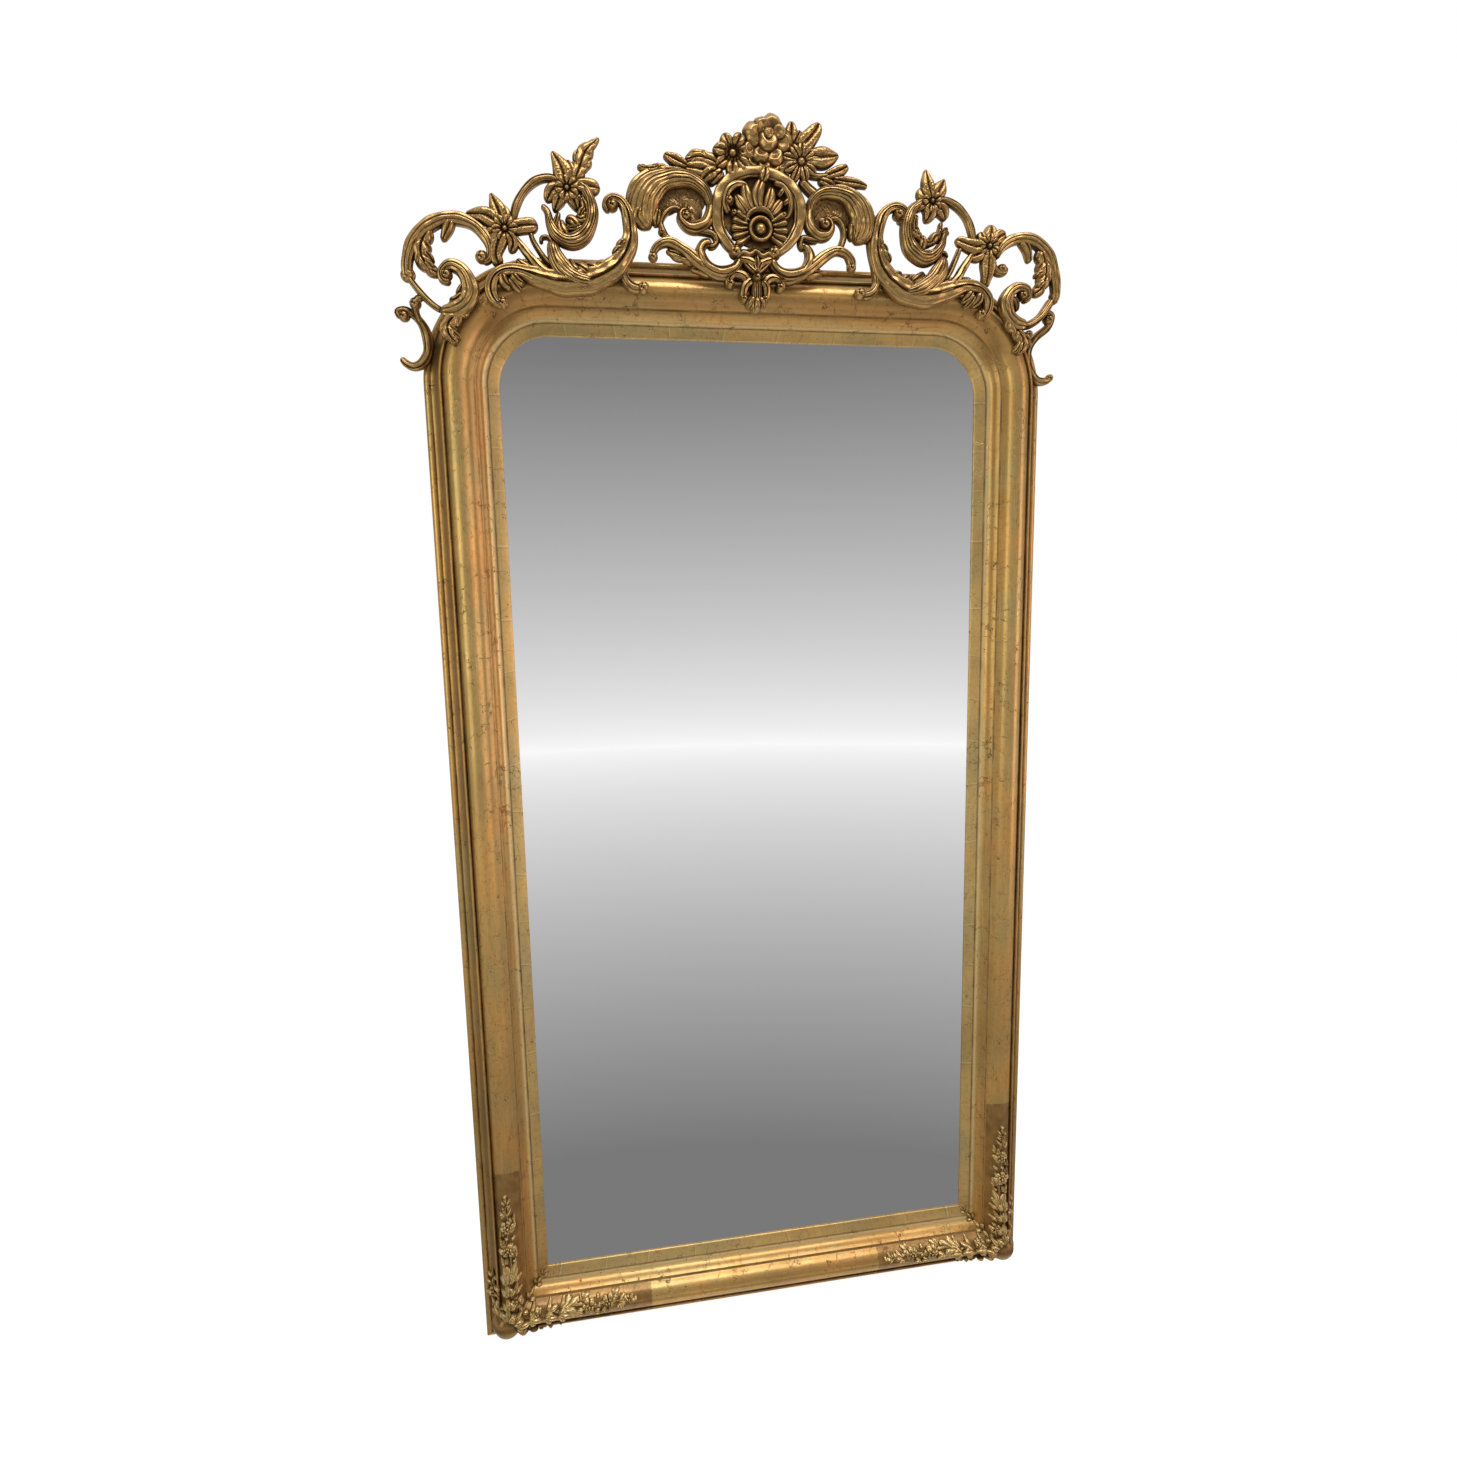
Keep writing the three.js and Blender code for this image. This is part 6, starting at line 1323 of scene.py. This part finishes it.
rim = wave([(18, 0), (18, 6), (17, 9.5), (15.2, 11), (13.2, 9.6), (11, 5), (9.4, 3), (8.3, 3.2)], 28)
ball = wave([(8.3, 3.2), (8.2, 6), (6.6, 10), (3.6, 12.8), (0.4, 13.8)], 20)
make("boss_turned", [lathed(np.vstack([rim, ball[1:]]), BOSS["x"], BOSS["z"], CREST_BACK + PANEL["thick"] + 0.6)],
     [crest_gilding], replaces=["cabochon"])

# %% [markdown]
# ## Pressed ornament on the bottom corners
# These leaves aren't carved. Composition, a mix of chalk, glue and resin, was pressed in a
# mould, steamed and bent on to the moulding, so they lie low and follow its crown. A round
# boss sits on the mitre, and sprays with small flowers lead away along the stile and the rail.
# They are made of a few small kinds: a tuft of leaf fingers, an open rose and a bead.

# %% Where the sprays run
ORNAMENT = {  # from, to and distance out from the sight edge, counted from the sight's corner
    "left": {"stile": (18, 172, 58), "rail": (18, 144, 48)},
    "right": {"stile": (18, 178, 56), "rail": (18, 158, 48)},
}
RELIEF_HIGH, SUNK = 7, 5  # mm that the ornament stands proud, and mm that it sinks into the face


def on_face(x, z, out, breadth, thickness):
    """A point of a run that lies on the moulding's face."""
    return (x, z, breadth, thickness + SUNK, float(face_height(out)) - SUNK - CREST_BACK)


def tuft(point, at, way, long, high=RELIEF_HIGH, open_by=0.5):
    """Three leaf fingers that fan out from one root. point(a, b, breadth, thickness) places a point of a run."""
    def step(share, bend):
        """A place at a share of the finger's length, turned aside by bend radians."""
        return at[0] + reach * share * math.cos(turn + bend), at[1] + reach * share * math.sin(turn + bend)

    skins = []
    for k in (-1, 0, 1):
        turn, reach, bow = way + open_by * k, long * (1 - 0.22 * abs(k)), 0.16 * k
        skins.append(carve("lobe", [
            point(*step(0.05, 0), long * 0.24, high * 0.7),
            point(*step(0.6, bow), long * 0.4, high),
            point(*step(1.0, 2 * bow), long * 0.16, high * 0.55)], at=LOW_AT, step=1.5, front=13))
    return skins


def rosette(point, at, radius):
    """A small open rose: two rings of petals round a heart."""
    x, z, _, thickness, lift = point(*at, 0, RELIEF_HIGH * 1.1)
    skins = []
    for share, petals, rise, turn, heart, tip in ((1, 6, 0, 0, 0.3, 0.95), (0.58, 5, 2.5, 0.5, 0.42, 0.9)):
        skins += flower((x, z), radius * share, petals, thickness + rise, lift, turn=at[0] + turn, heart=heart,
                        origin=LOW_AT, kind="lobe", tip=tip)
    return skins


# %% Sprays
# share of the length, aside in mm, length or radius in mm, and the way it points from the run
SPRAY = [
    ("tuft", 0.0, 0, 32, 0.3), ("tuft", 0.07, 0, 27, -0.42), ("tuft", 0.2, 5, 19, 0.55), ("bead", 0.24, -8, 3.5, 0),
    ("tuft", 0.28, -9, 16, -0.35), ("rosette", 0.38, 1, 14, 0), ("tuft", 0.43, 9, 15, 0.4), ("bead", 0.5, -8, 4, 0),
    ("bead", 0.51, 2, 4, 0), ("tuft", 0.53, 9, 14, 0.35), ("rosette", 0.64, -1, 13, 0), ("tuft", 0.68, -8, 15, -0.4),
    ("bead", 0.76, 7, 3.5, 0), ("tuft", 0.76, 1, 19, 0.15), ("rosette", 0.87, 0, 7, 0), ("tuft", 0.9, 0, 13, 0.1),
    ("bead", 0.99, 1, 3.5, 0),
]
AISLE = 16  # mm to each side of a spray's line that its leaves keep to
STEPS = 8  # spans of the stem


def spray(place, first, last, out):
    """A garland along a moulding; place(along, out) gives across and up."""
    def point(along, aside, breadth, thickness):
        beside = out + AISLE * math.tanh(aside / AISLE)  # no leaf strays off the convex
        return on_face(*place(along, beside), beside, breadth, thickness)

    long = last - first
    skins = [carve("round", [  # the stem, a thin line that wavers
        point(first - 14 + (long + 8) * k / STEPS, 3.5 * math.sin(1.9 * k), 3 if k in (0, STEPS) else 5,
              RELIEF_HIGH * 0.5)
        for k in range(STEPS + 1)], at=LOW_AT)]
    for kind, share, aside, size, way in SPRAY:
        at = (first + share * long, aside)
        if kind == "tuft":
            skins += tuft(point, at, way, size)
        elif kind == "rosette":
            skins += rosette(point, at, size)
        else:
            x, z, _, thickness, lift = point(*at, 0, RELIEF_HIGH * 0.8)
            skins.append(eye(x, z, size, thickness, lift, at=LOW_AT, winds=0, sides=14, rings=5))
    return skins


# %% Corners
BOSS_OUT, BOSS_RADIUS = 68, 22
FACE_OUT, LEVEL_OUT = 103, 100  # no leaf goes past the face's edge, nor takes its height from beyond the bead
for side, hand in ((-1, "left"), (1, "right")):
    stile, rail = ORNAMENT[hand]["stile"], ORNAMENT[hand]["rail"]
    make(f"stile_spray_{hand}_pressed", spray(lambda along, out: (side * (SIGHT_HALF + out), along), *stile),
         [composition_gilding], replaces=[f"stile_spray_{hand}"], smooth=60)
    make(f"rail_spray_{hand}_pressed", spray(lambda along, out: (side * (SIGHT_HALF - along), -out), *rail),
         [composition_gilding], replaces=[f"rail_spray_{hand}"], smooth=60)
    # here a point is its distance out across and its distance down, both from the sight's corner
    point = lambda out, down, breadth, thickness: on_face(
        side * (SIGHT_HALF + min(out, FACE_OUT)), -min(down, FACE_OUT), min(max(out, down, 0), LEVEL_OUT),
        breadth, thickness)
    skins = []
    for k in range(4):  # the dark sprig up the mitre
        skins += tuft(point, (46 - 12 * k, 46 - 12 * k), math.pi * 1.25, 19 - 2.2 * k, 6)
    for way in (2.1, 2.75, 3.4, 4.0, 4.6, 5.25):  # a collar of leaves round the boss, open at the outer corner
        root = (BOSS_OUT + 14 * math.cos(way), BOSS_OUT + 14 * math.sin(way))
        skins += tuft(point, root, way, 26, 11, open_by=0.42)
    for a, b, way, long in ((84, 40, 4.5, 22), (88, 24, 4.9, 20), (88, 6, 4.6, 20), (87, -10, 4.75, 16)):
        skins += tuft(point, (a, b), way, long, 9) + tuft(point, (b, a), 1.5 * math.pi - way + math.pi, long, 9)
    for at in ((50, 20), (22, 48), (86, 14), (14, 84)):
        skins += rosette(point, at, 11)
    for a in (34, 8, -14):
        skins += tuft(point, (60, a), 4.9, 24, 9) + tuft(point, (54, a - 4), 4.4, 20, 8)
        skins += tuft(point, (a, 54), 3.0, 24, 9) + tuft(point, (a - 4, 48), 3.4, 20, 8)
    crown = wave([(BOSS_RADIUS + 3, 0), (BOSS_RADIUS + 3, 14), (BOSS_RADIUS, 20), (17, 29), (9, 34), (0.3, 35.5)], 26)
    boss = lathed(crown, side * (SIGHT_HALF + BOSS_OUT), -BOSS_OUT, -28 + CREST_BACK, at=LOW_AT)
    make(f"corner_boss_{hand}", [boss], [boss_gilding], smooth=60)
    make(f"corner_ornament_{hand}_pressed", skins, [composition_gilding],
         replaces=[f"corner_ornament_{hand}"], smooth=60)

# %% [markdown]
# ## Glass and back
# The plate, the backboards and the strips that pack the glass keep their CAD shapes and get
# their finish. Cut nails hold the boards, three to a side.

# %% Nails in the boards
def stud(place, radius, high, way, slotted=False):
    """A nail or screw head at place: a low dome of rings, its axis pointing back (+Y) or up (+Z)."""
    first, second, axis = {"back": (2, 0, 1), "up": (0, 1, 2)}[way]
    sides = 24 if slotted else 7  # a forged nail has a few flat facets
    turn = np.linspace(0, 2 * math.pi, sides, endpoint=False)[None, :]
    share = np.array([1, 1, 0.86, 0.6, 0.45, 0.3, 0.15, 0.03])[:, None]
    rise = np.array([-1.2, 0.4, 0.75, 0.9, 0.95, 0.98, 1, 1])[:, None] + 0 * turn
    if slotted:
        rise = rise - 0.6 * np.exp(-((share * np.sin(turn + place[0]) / 0.14) ** 2)) * (rise > 0.6)
    grid = np.zeros((len(share), sides, 3))
    grid[..., first] = place[first] + radius * share * np.cos(turn)
    grid[..., second] = place[second] + radius * share * np.sin(turn)
    grid[..., axis] = place[axis] + high * rise
    return closed_skin(grid)


nails = []
for board in (1, 2, 3):
    low, high = (np.array(corner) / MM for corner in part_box(f"back_board_{board}"))
    for share in (0.14, 0.5, 0.86):
        for side in (-1, 1):
            nails.append(stud((side * (high[0] - 7), high[1], low[2] + share * (high[2] - low[2])), 3.2, 1.3, "back"))
make("board_nails", nails, [forged_iron], smooth=20)

# %% [markdown]
# The hanging plates and the strap behind the crest are screwed on with slotted round heads.
# Each plate has two screws above the place where the ring lies and one inside its loop.

# %% Screws
screws = []
for hand in ("left", "right"):
    low, high = (np.array(corner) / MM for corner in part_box(f"hanging_plate_{hand}"))
    middle = (low[0] + high[0]) / 2
    for across, down in ((-9, 7), (9, 7), (0, 30)):
        screws.append(stud((middle + across, low[1] + 2, high[2] - down), 3.6, 1.4, "back", slotted=True))
low, high = (np.array(corner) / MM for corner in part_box("crest_strap"))
middle = (low[0] + high[0]) / 2
screws += [stud((middle, y, low[2] + 4), 4, 1.6, "up", slotted=True) for y in (-20, -48)]
screws += [stud((middle, low[1] + 4, z), 4, 1.6, "back", slotted=True) for z in (low[2] + 32, high[2] - 18)]
make("iron_screws", screws, [forged_iron], smooth=35)

# %% Finishes for the CAD pieces that stay
STAYING = {"mirror_glass": silvered, "glass_strip_left": pine_upright, "glass_strip_right": pine_upright,
           "back_board_1": pine_across, "back_board_2": pine_across, "back_board_3": pine_across,
           "crest_strap": forged_iron, "hanging_plate_left": forged_iron, "hanging_plate_right": forged_iron}
for node, finish in STAYING.items():
    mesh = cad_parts[node].data
    mesh.materials.clear()
    mesh.materials.append(finish)


# %% [markdown]
# ## Rings that the mirror hangs on
# Each ring is round wire bent to a stirrup: a straight bar runs through the knuckle of an iron
# plate and a bow closes it, a cubic curve drawn by four controls. The ring rides on its
# own body, so it swings in the knuckle.

# %% Hangers
RING_X, RING_Z, RING_Y, WIRE = 436.0, 1360.0, 4.7, 2.1
BOW = ((17, 0), (22.95, -39.1), (-22.95, -39.1), (-17, 0))  # the curve's four controls, across and up from the bar
BAR = (-19.1, -10, 0, 10, 19.1)


def wire(points, radius, sides=16):
    """Round wire along a line in the X-Z plane: a circle in the plane of the line's normal and Y."""
    points = np.array(points, float)
    along = np.gradient(points, axis=0)
    along /= np.linalg.norm(along, axis=1)[:, None]
    turn = np.linspace(0, 2 * math.pi, sides, endpoint=False)
    normal = np.stack([-along[:, 1], along[:, 0]], -1)
    x = points[:, :1] + radius * np.cos(turn) * normal[:, :1]
    z = points[:, 1:] + radius * np.cos(turn) * normal[:, 1:]
    y = RING_Y + radius * np.sin(turn) + 0 * x
    return closed_skin(np.stack([x, y, z], -1))


for side, hand in ((-1, "left"), (1, "right")):
    x = side * RING_X
    t = np.linspace(0, 1, 60)[:, None]
    a, b, c, d = np.array(BOW) + (x, RING_Z)
    bow = (1 - t) ** 3 * a + 3 * t * (1 - t) ** 2 * b + 3 * t**2 * (1 - t) * c + t**3 * d
    bar = [(x + away, RING_Z) for away in BAR]
    make(f"ring_{hand}_wire", [wire(bow, WIRE), wire(bar, WIRE)], [forged_iron], body=f"ring_{hand}",
         replaces=[f"hanging_ring_{hand}"])
